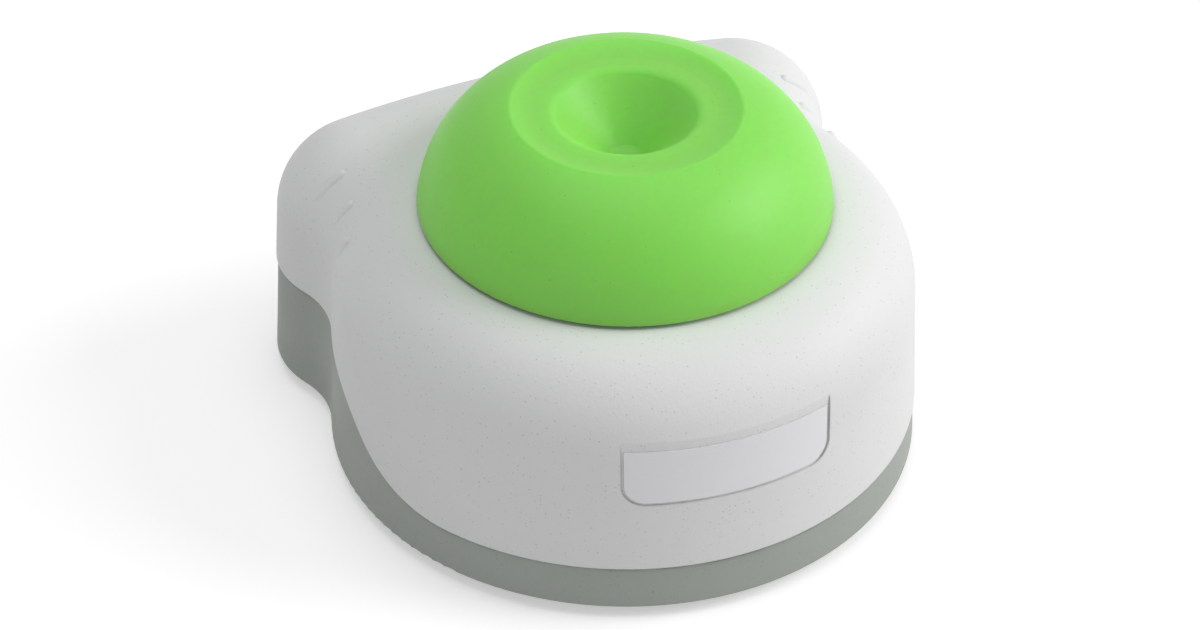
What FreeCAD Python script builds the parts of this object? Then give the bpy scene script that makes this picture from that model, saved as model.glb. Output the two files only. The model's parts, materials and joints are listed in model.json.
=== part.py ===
import FreeCAD, Part
import math
import os

import Sketcher
from FreeCAD import Vector

# Palm-sized, touch-operated vortex mixer. Front is -Y, +X is the right-hand side, +Z is up.
# The origin is the middle of the footprint, on the plane that the feet stand on. All lengths
# are in mm. Places in the plan are given from the drive axis, which stands at drive_y.

doc = FreeCAD.newDocument("vortex_mixer")
sheet = doc.addObject("Spreadsheet::Sheet", "Sizes")


class Size:
    """A length or angle together with the sheet formula that gives it."""

    def __init__(self, value, formula):
        self.value = value
        self.formula = formula

    def join(self, sign, left, right, value):
        return Size(value, "(%s %s %s)" % (left.formula, sign, right.formula))

    def __add__(self, other):
        other = plain(other)
        return self.join("+", self, other, self.value + other.value)

    def __radd__(self, other):
        return plain(other) + self

    def __sub__(self, other):
        other = plain(other)
        return self.join("-", self, other, self.value - other.value)

    def __rsub__(self, other):
        return plain(other) - self

    def __mul__(self, other):
        other = plain(other)
        return self.join("*", self, other, self.value * other.value)

    def __rmul__(self, other):
        return plain(other) * self

    def __truediv__(self, other):
        other = plain(other)
        return self.join("/", self, other, self.value / other.value)

    def __neg__(self):
        return 0 - self


def plain(number):
    if isinstance(number, Size):
        return number
    return Size(float(number), "(%r)" % float(number))


def root(size):
    return Size(math.sqrt(size.value), "sqrt(%s)" % size.formula)


def sine(angle):
    angle = plain(angle)
    return Size(math.sin(math.radians(angle.value)), "sin(%s * 1deg)" % angle.formula)


def cosine(angle):
    angle = plain(angle)
    return Size(math.cos(math.radians(angle.value)), "cos(%s * 1deg)" % angle.formula)


def tangent(angle):
    angle = plain(angle)
    return Size(math.tan(math.radians(angle.value)), "tan(%s * 1deg)" % angle.formula)


def size(name, value, note):
    size.row += 1
    sheet.set("A%d" % size.row, name)
    sheet.set("B%d" % size.row, str(value))
    sheet.set("C%d" % size.row, note)
    sheet.setAlias("B%d" % size.row, name)
    return Size(float(value), "Sizes." + name)


size.row = 0

# Case: plan outline at the pan's bottom plane, heights above that plane
foot_height = size("foot_height", 2.0, "feet below the pan")
drum_radius = size("drum_radius", 50.7, "round front of the cover")
lobe_swell = size("lobe_swell", 0.5, "rear lobes reach wider than the drum")
lobe_radius = size("lobe_radius", 17.3, "rear corners in plan")
waist_radius = size("waist_radius", 15.0, "hollow between drum and lobe")
rear_swell = size("rear_swell", 4.5, "back wall further out than the drum")
rear_radius = size("rear_radius", 188.0, "bow of the back wall")
case_height = size("case_height", 45.1, "pan bottom to cover top")
draft_angle = size("draft_angle", 2.6, "draft of both mouldings")
shoulder_radius = size("shoulder_radius", 15.2, "round from wall to top")
wall = size("wall", 2.4, "moulded wall")
floor_wall = size("floor_wall", 2.4, "floor of the pan")
seam_step = size("seam_step", 0.35, "cover stands out over the pan")
seam_front = size("seam_front", 8.6, "parting line at the front")
seam_rear = size("seam_rear", 20.2, "parting line at the rear")
seam_start = size("seam_start", 28.4, "rise starts in front of the axis")
seam_end = size("seam_end", 14.3, "rise ends behind the axis")
edge_round = size("edge_round", 0.8, "lower edge of the pan")
lip_height = size("lip_height", 2.0, "pan lip inside the cover")
lip_wall = size("lip_wall", 1.0, "thickness of that lip")
lip_clearance = size("lip_clearance", 0.15, "lip to cover")
well_radius = size("well_radius", 22.5, "opening under the head")
collar_height = size("collar_height", 0.9, "spill collar round the opening")
collar_wall = size("collar_wall", 1.5, "wall of the collar")

# Three raised grip ribs on each rear shoulder, each an arc that sinks into the wall at its foot
rib_radius = size("rib_radius", 0.9, "round section of a rib")
rib_arc = size("rib_arc", 12.0, "radius of a rib's arc")
rib_front_inset = size("rib_front_inset", 40.3, "front rib to the back wall")
rib_pitch = size("rib_pitch", 6.65, "rib to rib")
rib_depth = size("rib_depth", 11.75, "middle of the front arc below the cover top")
rib_drop = size("rib_drop", 0.57, "each arc lower than the one in front")
rib_foot_angle = size("rib_foot_angle", 8.0, "foot of a rib above level")
rib_head_angle = size("rib_head_angle", 26.0, "head of the front rib above level")
rib_head_step = size("rib_head_step", 16.0, "each rib reaches further up")
rib_inset = size("rib_inset", 18.35, "middle of the middle arc inside the drum")
rib_swell_front = size("rib_swell_front", 0.8, "front rib further out")
rib_swell_rear = size("rib_swell_rear", 1.95, "rear rib further out")

# Label recess in the front wall and its bare panel
label_angle = size("label_angle", 21.3, "half angle of the recess")
label_bottom = size("label_bottom", 21.5, "recess bottom")
label_depth = size("label_depth", 0.4, "recess depth")
label_corner = size("label_corner", 4.0, "lower corners")
label_margin = size("label_margin", 0.5, "panel edge to recess edge")
label_thickness = size("label_thickness", 0.25, "bare panel")
label_proud = size("label_proud", 0.04, "panel's upper edge out of the shoulder")

# Fixings of the case
boss_radius = size("boss_radius", 3.6, "screw bosses of the cover")
pan_boss_radius = size("pan_boss_radius", 4.6, "screw bosses of the pan")
boss_split = size("boss_split", 8.0, "joint of the two bosses")
front_boss_inset = size("front_boss_inset", 8.9, "front bosses inside the drum")
front_boss_angle = size("front_boss_angle", 35.0, "front bosses off the centre line")
rear_boss_side = size("rear_boss_side", 14.0, "rear bosses inside the lobes")
rear_boss_inset = size("rear_boss_inset", 13.0, "rear bosses to the back wall")
screw_radius = size("screw_radius", 1.5, "screw shank")
screw_head_radius = size("screw_head_radius", 2.8, "screw head")
screw_head_height = size("screw_head_height", 2.0, "screw head")
screw_seat = size("screw_seat", 4.0, "head seat above the pan bottom")
screw_grip = size("screw_grip", 10.0, "screw into the cover boss")
hole_clearance = size("hole_clearance", 0.05, "radial room round screws")
head_clearance = size("head_clearance", 0.4, "radial room round screw heads")

# Feet
foot_radius = size("foot_radius", 6.0, "rubber foot")
foot_sink = size("foot_sink", 1.0, "foot let into the pan")
foot_clearance = size("foot_clearance", 0.1, "foot to its pocket")
front_foot_inset = size("front_foot_inset", 10.9, "front feet inside the drum")
front_foot_angle = size("front_foot_angle", 58.0, "front feet off the centre line")
rear_foot_side = size("rear_foot_side", 26.0, "rear feet inside the lobes")
rear_foot_inset = size("rear_foot_inset", 14.0, "rear feet to the back wall")

# Ballast plate, guide posts and springs
ballast_inset = size("ballast_inset", 14.4, "steel plate inside the drum")
ballast_thickness = size("ballast_thickness", 6.0, "steel plate")
post_inset = size("post_inset", 3.5, "guide posts inside the ballast plate")
post_radius = size("post_radius", 2.0, "guide post")
post_thread_radius = size("post_thread_radius", 1.6, "threaded end")
post_head_radius = size("post_head_radius", 3.6, "post head")
post_head_height = size("post_head_height", 1.8, "post head")
post_slot = size("post_slot", 0.8, "driver slot")
ballast_screw_ring = size("ballast_screw_ring", 22.0, "ballast screws from the axis")
spring_radius = size("spring_radius", 3.2, "mean coil radius")
spring_wire = size("spring_wire", 0.4, "radius of the wire")
spring_turns = size("spring_turns", 6, "turns")
spring_clearance = size("spring_clearance", 0.1, "spring end to its seats")
press_travel = size("press_travel", 0.5, "travel of the pressed head")

# Motor carriage
plate_thickness = size("plate_thickness", 2.0, "motor plate")
plate_margin = size("plate_margin", 9.5, "motor plate wider than the motor")
ear_radius = size("ear_radius", 5.5, "ears of the motor plate")
bush_wall = size("bush_wall", 0.95, "guide bush")
bush_flange_radius = size("bush_flange_radius", 4.2, "guide bush flange")
bush_flange = size("bush_flange", 0.8, "guide bush flange")
running_clearance = size("running_clearance", 0.05, "shafts and posts in bushes")
fit_clearance = size("fit_clearance", 0.05, "fixed parts in their seats")
stop_clearance = size("stop_clearance", 0.05, "plate to post head")
pin_ring = size("pin_ring", 17.0, "steady pins from the axis")
pin_radius = size("pin_radius", 1.5, "steady pin")

# Motor
motor_radius = size("motor_radius", 17.5, "motor can")
motor_lift = size("motor_lift", 2.1, "motor above the ballast plate")
can_wall = size("can_wall", 1.0, "motor can")
can_end = size("can_end", 1.2, "closed end of the can")
can_boss_radius = size("can_boss_radius", 5.0, "bearing boss of the can")
can_boss_height = size("can_boss_height", 1.8, "bearing boss of the can")
motor_bush_radius = size("motor_bush_radius", 3.0, "motor bush")
motor_bush_length = size("motor_bush_length", 3.0, "front bush")
cap_thickness = size("cap_thickness", 2.0, "motor end cap")
magnet_wall = size("magnet_wall", 3.2, "magnet")
magnet_margin = size("magnet_margin", 8.0, "magnet shorter than the can")
magnet_angle = size("magnet_angle", 70.0, "half angle of a magnet")
air_gap = size("air_gap", 0.6, "armature to magnet")
armature_margin = size("armature_margin", 9.0, "laminated core shorter than the can")
armature_slots = 5
slot_hole_radius = size("slot_hole_radius", 2.5, "winding space in the core")
slot_mouth = size("slot_mouth", 1.6, "slot mouth")
winding_height = size("winding_height", 1.6, "end turns")
commutator_radius = size("commutator_radius", 3.6, "commutator")
commutator_length = size("commutator_length", 1.5, "commutator")
shaft_radius = size("shaft_radius", 1.6, "motor shaft")
motor_screw_ring = size("motor_screw_ring", 10.0, "motor screws from the axis")
motor_screw_head = size("motor_screw_head", 2.5, "motor screw head radius")
motor_screw_height = size("motor_screw_height", 1.6, "motor screw head")

# Eccentric drive
orbit_radius = size("orbit_radius", 1.5, "crank pin off the drive axis")
crank_angle = size("crank_angle", 69.0, "where the pin stands at rest")
hub_radius = size("hub_radius", 6.5, "eccentric hub")
hub_height = size("hub_height", 6.4, "eccentric hub")
hub_gap = size("hub_gap", 1.1, "motor plate to hub")
hub_drop = size("hub_drop", 5.85, "hub top below the skirt of the head")
weight_radius = size("weight_radius", 14.0, "counterweight")
weight_height = size("weight_height", 4.8, "counterweight")
weight_angle = size("weight_angle", 75.0, "half angle of the counterweight")
set_screw_radius = size("set_screw_radius", 1.25, "set screw")
crank_radius = size("crank_radius", 3.0, "crank pin")
bearing_radius = size("bearing_radius", 6.5, "ball bearing outside")
bearing_width = size("bearing_width", 3.5, "ball bearing")
bearing_ring = size("bearing_ring", 1.1, "thickness of each race")
ball_radius = size("ball_radius", 1.15, "ball")
balls = 7
spacer_width = size("spacer_width", 1.0, "ring between the bearings")
bearing_lift = size("bearing_lift", 0.6, "hub to lower bearing")
clip_radius = size("clip_radius", 4.2, "retaining clip")
clip_thickness = size("clip_thickness", 0.6, "retaining clip")

# Head
head_gap = size("head_gap", 0.75, "head over the cover top")
head_radius = size("head_radius", 34.9, "skirt of the head")
dome_radius = size("dome_radius", 21.1, "round of the dome")
dome_top_radius = size("dome_top_radius", 19.9, "where the dome meets the rim")
dome_height = size("dome_height", 18.55, "skirt to rim")
rim_radius = size("rim_radius", 18.9, "inside of the rim")
rim_round = size("rim_round", 0.9, "round of the rim")
dish_radius = size("dish_radius", 15.2, "flat part of the dish")
dish_depth = size("dish_depth", 0.75, "dish below the rim")
dish_round = size("dish_round", 11.0, "hollow round of the dish")
lip_start = size("lip_start", 13.3, "cup lip starts")
lip_round = size("lip_round", 2.2, "round of the cup lip")
cup_radius = size("cup_radius", 11.35, "cup under its lip")
cup_lip_drop = size("cup_lip_drop", 0.9, "cup radius below the dish")
cup_depth = size("cup_depth", 9.9, "dish to cup bottom")
cup_bottom_radius = size("cup_bottom_radius", 2.9, "cone meets the bottom")
cup_bottom_rise = size("cup_bottom_rise", 0.8, "rise of the bottom round")
cup_bottom_round = size("cup_bottom_round", 5.2, "round of the cup bottom")
head_wall = size("head_wall", 3.0, "silicone wall")
cup_wall = size("cup_wall", 3.3, "silicone round the cup, level")
cup_floor = size("cup_floor", 2.0, "silicone under the cup")
dish_wall = size("dish_wall", 2.5, "silicone under the dish")
lip_hook = size("lip_hook", 1.5, "silicone lip under the flange")
lip_hook_height = size("lip_hook_height", 1.5, "height of that lip")
flange_thickness = size("flange_thickness", 2.5, "flange of the core")
core_clearance = size("core_clearance", 0.1, "core to silicone")
rib_clearance = size("rib_clearance", 0.3, "core ribs to silicone")
core_boss_wall = size("core_boss_wall", 2.0, "bearing housing wall")
core_ribs = 6
core_rib_wall = size("core_rib_wall", 1.6, "core ribs")
core_cap = size("core_cap", 1.5, "closed end of the housing")
grommet_wall = size("grommet_wall", 1.2, "rubber grommet")
pin_room = size("pin_room", 0.35, "pin to grommet at the closest")

# Press switch
switch_width = size("switch_width", 6.4, "switch body, radial")
switch_length = size("switch_length", 20.0, "switch body")
switch_height = size("switch_height", 10.2, "switch body")
switch_gap = size("switch_gap", 3.9, "motor to switch")
switch_y = size("switch_y", 3.0, "middle of the switch")
plunger_width = size("plunger_width", 1.8, "switch plunger")
plunger_length = size("plunger_length", 3.0, "switch plunger")
plunger_height = size("plunger_height", 1.2, "plunger above the body at rest")
plunger_depth = size("plunger_depth", 2.5, "plunger inside the body")
plunger_gap = size("plunger_gap", 0.05, "plunger to motor plate")
bracket_wall = size("bracket_wall", 1.2, "switch bracket")
bracket_foot = size("bracket_foot", 7.0, "foot of the bracket")
switch_screw_radius = size("switch_screw_radius", 1.0, "switch screws")
switch_screw_pitch = size("switch_screw_pitch", 9.5, "switch screws")

# Circuit board and power inlet
board_width = size("board_width", 42.0, "circuit board")
board_depth = size("board_depth", 11.6, "circuit board")
board_gap = size("board_gap", 1.3, "ballast plate to board")
board_thickness = size("board_thickness", 1.6, "circuit board")
standoff_height = size("standoff_height", 2.0, "board above the floor")
standoff_radius = size("standoff_radius", 2.8, "board standoff")
standoff_x = size("standoff_x", 17.0, "board screws")
standoff_inset = size("standoff_inset", 10.0, "board screws to the back wall")
board_screw_radius = size("board_screw_radius", 1.2, "board screw")
board_screw_head = size("board_screw_head", 2.2, "board screw head radius")
inlet_height = size("inlet_height", 11.0, "power inlet axis above the pan bottom")
inlet_width = size("inlet_width", 9.0, "inlet housing")
inlet_rise = size("inlet_rise", 4.6, "inlet housing above its axis")
inlet_length = size("inlet_length", 16.0, "front of the inlet housing to the back wall")
inlet_barrel_radius = size("inlet_barrel_radius", 4.0, "round nose of the inlet")
inlet_recess = size("inlet_recess", 0.4, "nose below the back wall")
inlet_clearance = size("inlet_clearance", 0.15, "nose in the pan")
inlet_bore = size("inlet_bore", 2.8, "socket radius")
inlet_depth = size("inlet_depth", 9.5, "socket depth")
inlet_pin_radius = size("inlet_pin_radius", 1.05, "centre pin")
doc.recompute()

# Heights above the floor, and places that several pieces share
lobe_reach = drum_radius + lobe_swell
rear_reach = drum_radius + rear_swell
front_boss_ring = drum_radius - front_boss_inset
rear_boss_x = lobe_reach - rear_boss_side
rear_boss_y = rear_reach - rear_boss_inset
front_foot_ring = drum_radius - front_foot_inset
rear_foot_x = lobe_reach - rear_foot_side
rear_foot_y = rear_reach - rear_foot_inset
ballast_radius = drum_radius - ballast_inset
post_ring = ballast_radius - post_inset
plate_radius = motor_radius + plate_margin
switch_x = motor_radius + switch_gap
board_y = ballast_radius + board_gap
standoff_y = rear_reach - standoff_inset
inlet_front = rear_reach - inlet_length
pan_top = foot_height + floor_wall
cover_top = foot_height + case_height
ballast_top = pan_top + ballast_thickness
head_bottom = cover_top + head_gap
hub_top = head_bottom - hub_drop
hub_bottom = hub_top - hub_height
plate_top = hub_bottom - hub_gap
plate_bottom = plate_top - plate_thickness
motor_bottom = ballast_top + motor_lift
motor_length = plate_bottom - motor_bottom
magnet_length = motor_length - magnet_margin
armature_length = motor_length - armature_margin
bearing_bottom = hub_top + bearing_lift
upper_bearing = bearing_bottom + bearing_width + spacer_width
bearing_top = upper_bearing + bearing_width
crank_top = bearing_top + clip_thickness * 2
head_x = orbit_radius * cosine(crank_angle)
head_y = orbit_radius * sine(crank_angle)
flange_bottom = head_bottom + lip_hook_height + core_clearance
flange_top = flange_bottom + flange_thickness
grommet_hole = pin_radius + orbit_radius + pin_room
taper = tangent(draft_angle)
drive_y = (drum_radius - seam_front * taper - rear_reach + seam_step) / 2
half_turn = 180
margin = 20

nodes = []


def node(piece, name):
    piece.Label = name
    nodes.append(piece)
    return piece


def bind(piece, prop, value):
    piece.setExpression(prop, plain(value).formula)


def place(piece, x=0, y=0, z=0):
    """Put a piece at x and y from the drive axis and z from the floor."""
    bind(piece, "Placement.Base.x", x)
    bind(piece, "Placement.Base.y", drive_y + y)
    bind(piece, "Placement.Base.z", z)
    return piece


def turn(piece, angle):
    """Turn a piece about its own vertical axis."""
    piece.Placement = FreeCAD.Placement(Vector(0, 0, 0), FreeCAD.Rotation(Vector(0, 0, 1), 0))
    bind(piece, "Placement.Rotation.Angle", angle)
    return piece


def cylinder(name, radius, height, x=0, y=0, z=0):
    piece = doc.addObject("Part::Cylinder", name)
    bind(piece, "Radius", radius)
    bind(piece, "Height", height)
    return place(piece, x, y, z)


def box(name, length, width, height, x=0, y=0, z=0):
    """A block centred on x, standing from y and z."""
    piece = doc.addObject("Part::Box", name)
    bind(piece, "Length", length)
    bind(piece, "Width", width)
    bind(piece, "Height", height)
    return place(piece, x - plain(length) / 2, y, z)


def ball(name, radius, x, y, z):
    piece = doc.addObject("Part::Sphere", name)
    bind(piece, "Radius", radius)
    return place(piece, x, y, z)


def torus(name, ring, radius, z):
    piece = doc.addObject("Part::Torus", name)
    bind(piece, "Radius1", ring)
    bind(piece, "Radius2", radius)
    return place(piece, 0, 0, z)


def cut(name, base, tool):
    piece = doc.addObject("Part::Cut", name)
    piece.Base = base
    piece.Tool = tool
    return piece


def common(name, base, tool):
    piece = doc.addObject("Part::Common", name)
    piece.Base = base
    piece.Tool = tool
    return piece


def fuse(name, pieces):
    piece = doc.addObject("Part::MultiFuse", name)
    piece.Shapes = pieces
    piece.Refine = True
    return piece


def group(name, pieces):
    piece = doc.addObject("Part::Compound", name)
    piece.Links = pieces
    return piece


def plane_of(body, role):
    for feature in body.Origin.OriginFeatures:
        if feature.Role == role:
            return feature


def new_sketch(body, name, role="XY_Plane"):
    sketch = body.newObject("Sketcher::SketchObject", name)
    sketch.AttachmentSupport = [(plane_of(body, role), "")]
    sketch.MapMode = "FlatFace"
    return sketch


def limit(sketch, kind, *where_and_value):
    """Add a constraint whose last value is a size, bound to the sheet."""
    where = where_and_value[:-1]
    value = plain(where_and_value[-1])
    index = sketch.addConstraint(Sketcher.Constraint(kind, *where, value.value))
    sketch.setExpression("Constraints[%d]" % index, value.formula)


def at(sketch, element, point, x, y):
    """Pin one point of a sketch element at x, y."""
    if plain(x).value == 0:
        sketch.addConstraint(Sketcher.Constraint("PointOnObject", element, point, -2))
    else:
        limit(sketch, "DistanceX", -1, 1, element, point, x)
    if plain(y).value == 0:
        sketch.addConstraint(Sketcher.Constraint("PointOnObject", element, point, -1))
    else:
        limit(sketch, "DistanceY", -1, 1, element, point, y)


def arc_between(start, end, radius, side):
    """Arc from start to end; side +1 puts its centre on the left of the way, -1 on the right."""
    dx = end[0] - start[0]
    dy = end[1] - start[1]
    chord = math.hypot(dx, dy)
    reach = math.sqrt(max(radius * radius - chord * chord / 4, 0))
    centre = Vector((start[0] + end[0]) / 2 - side * reach * dy / chord,
                    (start[1] + end[1]) / 2 + side * reach * dx / chord, 0)
    first = math.atan2(start[1] - centre.y, start[0] - centre.x)
    last = math.atan2(end[1] - centre.y, end[0] - centre.x)
    if side < 0:
        first, last = last, first
    if last < first:
        last += 2 * math.pi
    return Part.ArcOfCircle(Part.Circle(centre, Vector(0, 0, 1), radius), first, last)


def profile(sketch, points):
    """Closed outline. A point is (x, y), or (x, y, radius, side) where an arc leads to the next."""
    values = [(plain(point[0]).value, plain(point[1]).value) for point in points]
    starts = []
    ends = []
    for index, point in enumerate(points):
        start = values[index]
        end = values[(index + 1) % len(points)]
        if len(point) == 2:
            sketch.addGeometry(Part.LineSegment(Vector(*start, 0), Vector(*end, 0)), False)
            starts.append(1)
            ends.append(2)
        else:
            side = point[3]
            sketch.addGeometry(arc_between(start, end, plain(point[2]).value, side), False)
            starts.append(1 if side > 0 else 2)
            ends.append(2 if side > 0 else 1)
    for index, point in enumerate(points):
        before = (index - 1) % len(points)
        link = Sketcher.Constraint("Coincident", before, ends[before], index, starts[index])
        sketch.addConstraint(link)
        at(sketch, index, starts[index], point[0], point[1])
        if len(point) > 2:
            limit(sketch, "Radius", index, point[2])


def circles(sketch, places):
    """Circles given as (x, y, radius)."""
    for x, y, radius in places:
        centre = Vector(plain(x).value, plain(y).value, 0)
        circle = Part.Circle(centre, Vector(0, 0, 1), plain(radius).value)
        element = sketch.addGeometry(circle, False)
        at(sketch, element, 3, x, y)
        limit(sketch, "Radius", element, radius)


def new_body(name, x=0, y=0, z=0):
    return place(doc.addObject("PartDesign::Body", name), x, y, z)


def turned(name, points, x=0, y=0, z=0):
    """A piece turned about its own vertical axis; points are (radius, height above z)."""
    body = new_body(name, x, y, z)
    sketch = new_sketch(body, name + "_profile", "XZ_Plane")
    profile(sketch, points)
    turning = body.newObject("PartDesign::Revolution", name + "_turning")
    turning.Profile = sketch
    turning.ReferenceAxis = (sketch, ["V_Axis"])
    turning.Angle = 360
    return body


def pad(body, sketch, length, name):
    feature = body.newObject("PartDesign::Pad", name)
    feature.Profile = sketch
    bind(feature, "Length", length)
    return feature


def pocket_through(body, sketch, name):
    feature = body.newObject("PartDesign::Pocket", name)
    feature.Profile = sketch
    feature.Type = "ThroughAll"
    feature.Midplane = True
    return feature


def ring_places(count, ring, first_angle, x=0, y=0):
    """Places spread evenly on a circle."""
    step = 360 / count
    return [(plain(x) + ring * cosine(plain(first_angle) + step * number),
             plain(y) + ring * sine(plain(first_angle) + step * number))
            for number in range(count)]


def mirrored_places(x, y):
    return [(x, y), (-plain(x), y)]


front_bosses = mirrored_places(front_boss_ring * sine(front_boss_angle),
                               -(front_boss_ring * cosine(front_boss_angle)))
boss_places = front_bosses + mirrored_places(rear_boss_x, rear_boss_y)
front_feet = mirrored_places(front_foot_ring * sine(front_foot_angle),
                             -(front_foot_ring * cosine(front_foot_angle)))
foot_places = front_feet + mirrored_places(rear_foot_x, rear_foot_y)
post_places = ring_places(3, post_ring, 90)
ballast_screw_places = ring_places(3, ballast_screw_ring, 30)
pin_places = ring_places(3, pin_ring, 30)
standoff_places = mirrored_places(standoff_x, standoff_y)
motor_screw_places = ring_places(2, motor_screw_ring, 0)


# Plan outline of the case: drum, two waists, two lobes and a bowed back, all tangent
def case_outline(sketch, inset):
    drum = drum_radius - inset
    lobe = lobe_radius - inset
    waist = waist_radius + inset
    back = rear_radius - inset
    lobe_x = lobe_reach - lobe_radius
    back_centre = rear_reach - rear_radius
    lobe_y = back_centre + root((back - lobe) * (back - lobe) - lobe_x * lobe_x)
    centres = math.hypot(lobe_x.value, lobe_y.value)
    along = ((drum + waist).value ** 2 - (lobe + waist).value ** 2 + centres ** 2) / (2 * centres)
    across = math.sqrt((drum + waist).value ** 2 - along ** 2)
    ux = lobe_x.value / centres
    uy = lobe_y.value / centres
    waist_x = along * ux + across * uy
    waist_y = along * uy - across * ux

    def towards(centre, radius, target):
        dx = target[0] - centre[0]
        dy = target[1] - centre[1]
        reach = radius / math.hypot(dx, dy)
        return centre[0] + dx * reach, centre[1] + dy * reach

    def arc(centre, radius, start, end):
        first = math.atan2(start[1] - centre[1], start[0] - centre[0])
        last = math.atan2(end[1] - centre[1], end[0] - centre[0])
        if last < first:
            last += 2 * math.pi
        circle = Part.Circle(Vector(centre[0], centre[1], 0), Vector(0, 0, 1), radius)
        sketch.addGeometry(Part.ArcOfCircle(circle, first, last), False)

    def left(point):
        return -point[0], point[1]

    axis = (0, 0)
    lobe_centre = (lobe_x.value, lobe_y.value)
    waist_centre = (waist_x, waist_y)
    back_axis = (0, back_centre.value)
    drum_end = towards(axis, drum.value, waist_centre)
    lobe_start = towards(lobe_centre, lobe.value, waist_centre)
    lobe_end = towards(back_axis, back.value, lobe_centre)
    arc(axis, drum.value, left(drum_end), drum_end)
    arc(waist_centre, waist.value, lobe_start, drum_end)
    arc(lobe_centre, lobe.value, lobe_start, lobe_end)
    arc(back_axis, back.value, lobe_end, left(lobe_end))
    arc(left(lobe_centre), lobe.value, left(lobe_end), left(lobe_start))
    arc(left(waist_centre), waist.value, left(drum_end), left(lobe_start))
    rule = Sketcher.Constraint
    sketch.addConstraint([
        rule("Coincident", 0, 3, -1, 1),
        rule("Tangent", 0, 2, 1, 2),
        rule("Tangent", 1, 1, 2, 1),
        rule("Tangent", 2, 2, 3, 1),
        rule("Tangent", 3, 2, 4, 1),
        rule("Tangent", 4, 2, 5, 2),
        rule("Tangent", 5, 1, 0, 1),
        rule("Equal", 1, 5),
        rule("Equal", 2, 4),
        rule("Symmetric", 2, 3, 4, 3, -2),
    ])
    limit(sketch, "Radius", 0, drum)
    limit(sketch, "Radius", 1, waist)
    limit(sketch, "Radius", 2, lobe)
    limit(sketch, "Radius", 3, back)
    limit(sketch, "DistanceX", -1, 1, 2, 3, lobe_x)
    limit(sketch, "DistanceY", -1, 1, 3, 3, back_centre)


def level_edges(shape, height):
    """Names of the edges that lie level at a height of the body."""
    names = []
    for number, edge in enumerate(shape.Edges, 1):
        span = edge.BoundBox
        if abs(span.ZMin - height) < 1e-3 and abs(span.ZMax - height) < 1e-3:
            names.append("Edge%d" % number)
    return names


def case_form(name, inset, start, end, top_round=None, bottom_round=None):
    """The case outline, drafted inwards, from start to end above the pan's bottom plane."""
    body = new_body(name, 0, 0, foot_height + start)
    sketch = new_sketch(body, name + "_outline")
    case_outline(sketch, plain(inset) + plain(start) * taper)
    tip = pad(body, sketch, plain(end) - start, name + "_wall")
    bind(tip, "TaperAngle", -draft_angle)
    doc.recompute()
    if top_round is not None:
        edges = level_edges(tip.Shape, (plain(end) - start).value)
        shoulder = body.newObject("PartDesign::Fillet", name + "_shoulder")
        shoulder.Base = (tip, edges)
        bind(shoulder, "Radius", top_round)
        tip = shoulder
        doc.recompute()
    if bottom_round is not None:
        edge = body.newObject("PartDesign::Fillet", name + "_edge")
        edge.Base = (tip, level_edges(tip.Shape, 0))
        bind(edge, "Radius", bottom_round)
        doc.recompute()
    return body


def seam_block(name, lift=0):
    """Everything below the curved parting line, seen from the side, raised by lift."""
    body = new_body(name)
    sketch = new_sketch(body, name + "_line", "YZ_Plane")
    low = foot_height + seam_front + lift
    high = foot_height + seam_rear + lift
    run = seam_start + seam_end
    rise = seam_rear - seam_front
    bend = (run * run + rise * rise) / (rise * 4)
    middle = (seam_end - seam_start) / 2
    far = drum_radius + rear_reach
    profile(sketch, [
        (-far, -margin),
        (far, -margin),
        (far, high),
        (seam_end, high, bend, 1),
        (middle, (low + high) / 2, bend, -1),
        (-seam_start, low),
        (-far, low),
    ])
    block = pad(body, sketch, far * 2, name + "_block")
    block.Midplane = True
    return body


# Top cover: outer form less inner form, opened below the seam and round the drive
cover_outer = case_form("cover_outer", 0, 0, case_height, shoulder_radius)
cover_inner = case_form("cover_inner", wall, 0, case_height - wall, shoulder_radius - wall)
cover_middle = case_form("cover_middle", wall / 2, 0, case_height - wall / 2,
                         shoulder_radius - wall / 2)
cover_skin = cut("cover_skin", cover_outer, cover_inner)
cover_over_seam = cut("cover_over_seam", cover_skin, seam_block("cover_seam"))
cover_posts = []
for number, (x, y) in enumerate(boss_places):
    start = foot_height + boss_split
    cover_posts.append(cylinder("cover_post_%d" % number, boss_radius, case_height, x, y, start))
cover_bosses = common("cover_bosses", group("cover_post_set", cover_posts), cover_middle)
well_skirt = cylinder("well_skirt", well_radius + collar_wall,
                      wall * 2 + collar_height, 0, 0, cover_top - wall * 2)
grip_ribs = []
for number, swell in enumerate((rib_swell_front, plain(0), rib_swell_rear)):
    head_angle = rib_head_angle + rib_head_step * number
    rib_y = rear_reach - rib_front_inset + rib_pitch * number
    rib_z = cover_top - rib_depth - rib_drop * number
    for side in (1, -1):
        rib_x = (drum_radius - rib_inset + swell) * side
        rib = torus("rib_%d%d" % (number, side > 0), rib_arc, rib_radius, 0)
        bind(rib, "Angle3", head_angle - rib_foot_angle)
        first = rib_foot_angle.value if side > 0 else half_turn - head_angle.value
        upright = FreeCAD.Rotation(Vector(1, 0, 0), 90)
        rib.Placement.Rotation = FreeCAD.Rotation(Vector(0, 1, 0), -first).multiply(upright)
        place(rib, rib_x, rib_y, rib_z)
        grip_ribs.append(rib)
        grip_ribs.append(ball("rib_head_%d%d" % (number, side > 0), rib_radius,
                              rib_x + rib_arc * cosine(head_angle) * side, rib_y,
                              rib_z + rib_arc * sine(head_angle)))
grip_rib_set = fuse("grip_rib_set", grip_ribs)
cover_block = fuse("cover_block", [cover_over_seam, cover_bosses, well_skirt, grip_rib_set])
cover_drills = [cylinder("well", well_radius, case_height, 0, 0, cover_top - case_height / 2)]
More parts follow.
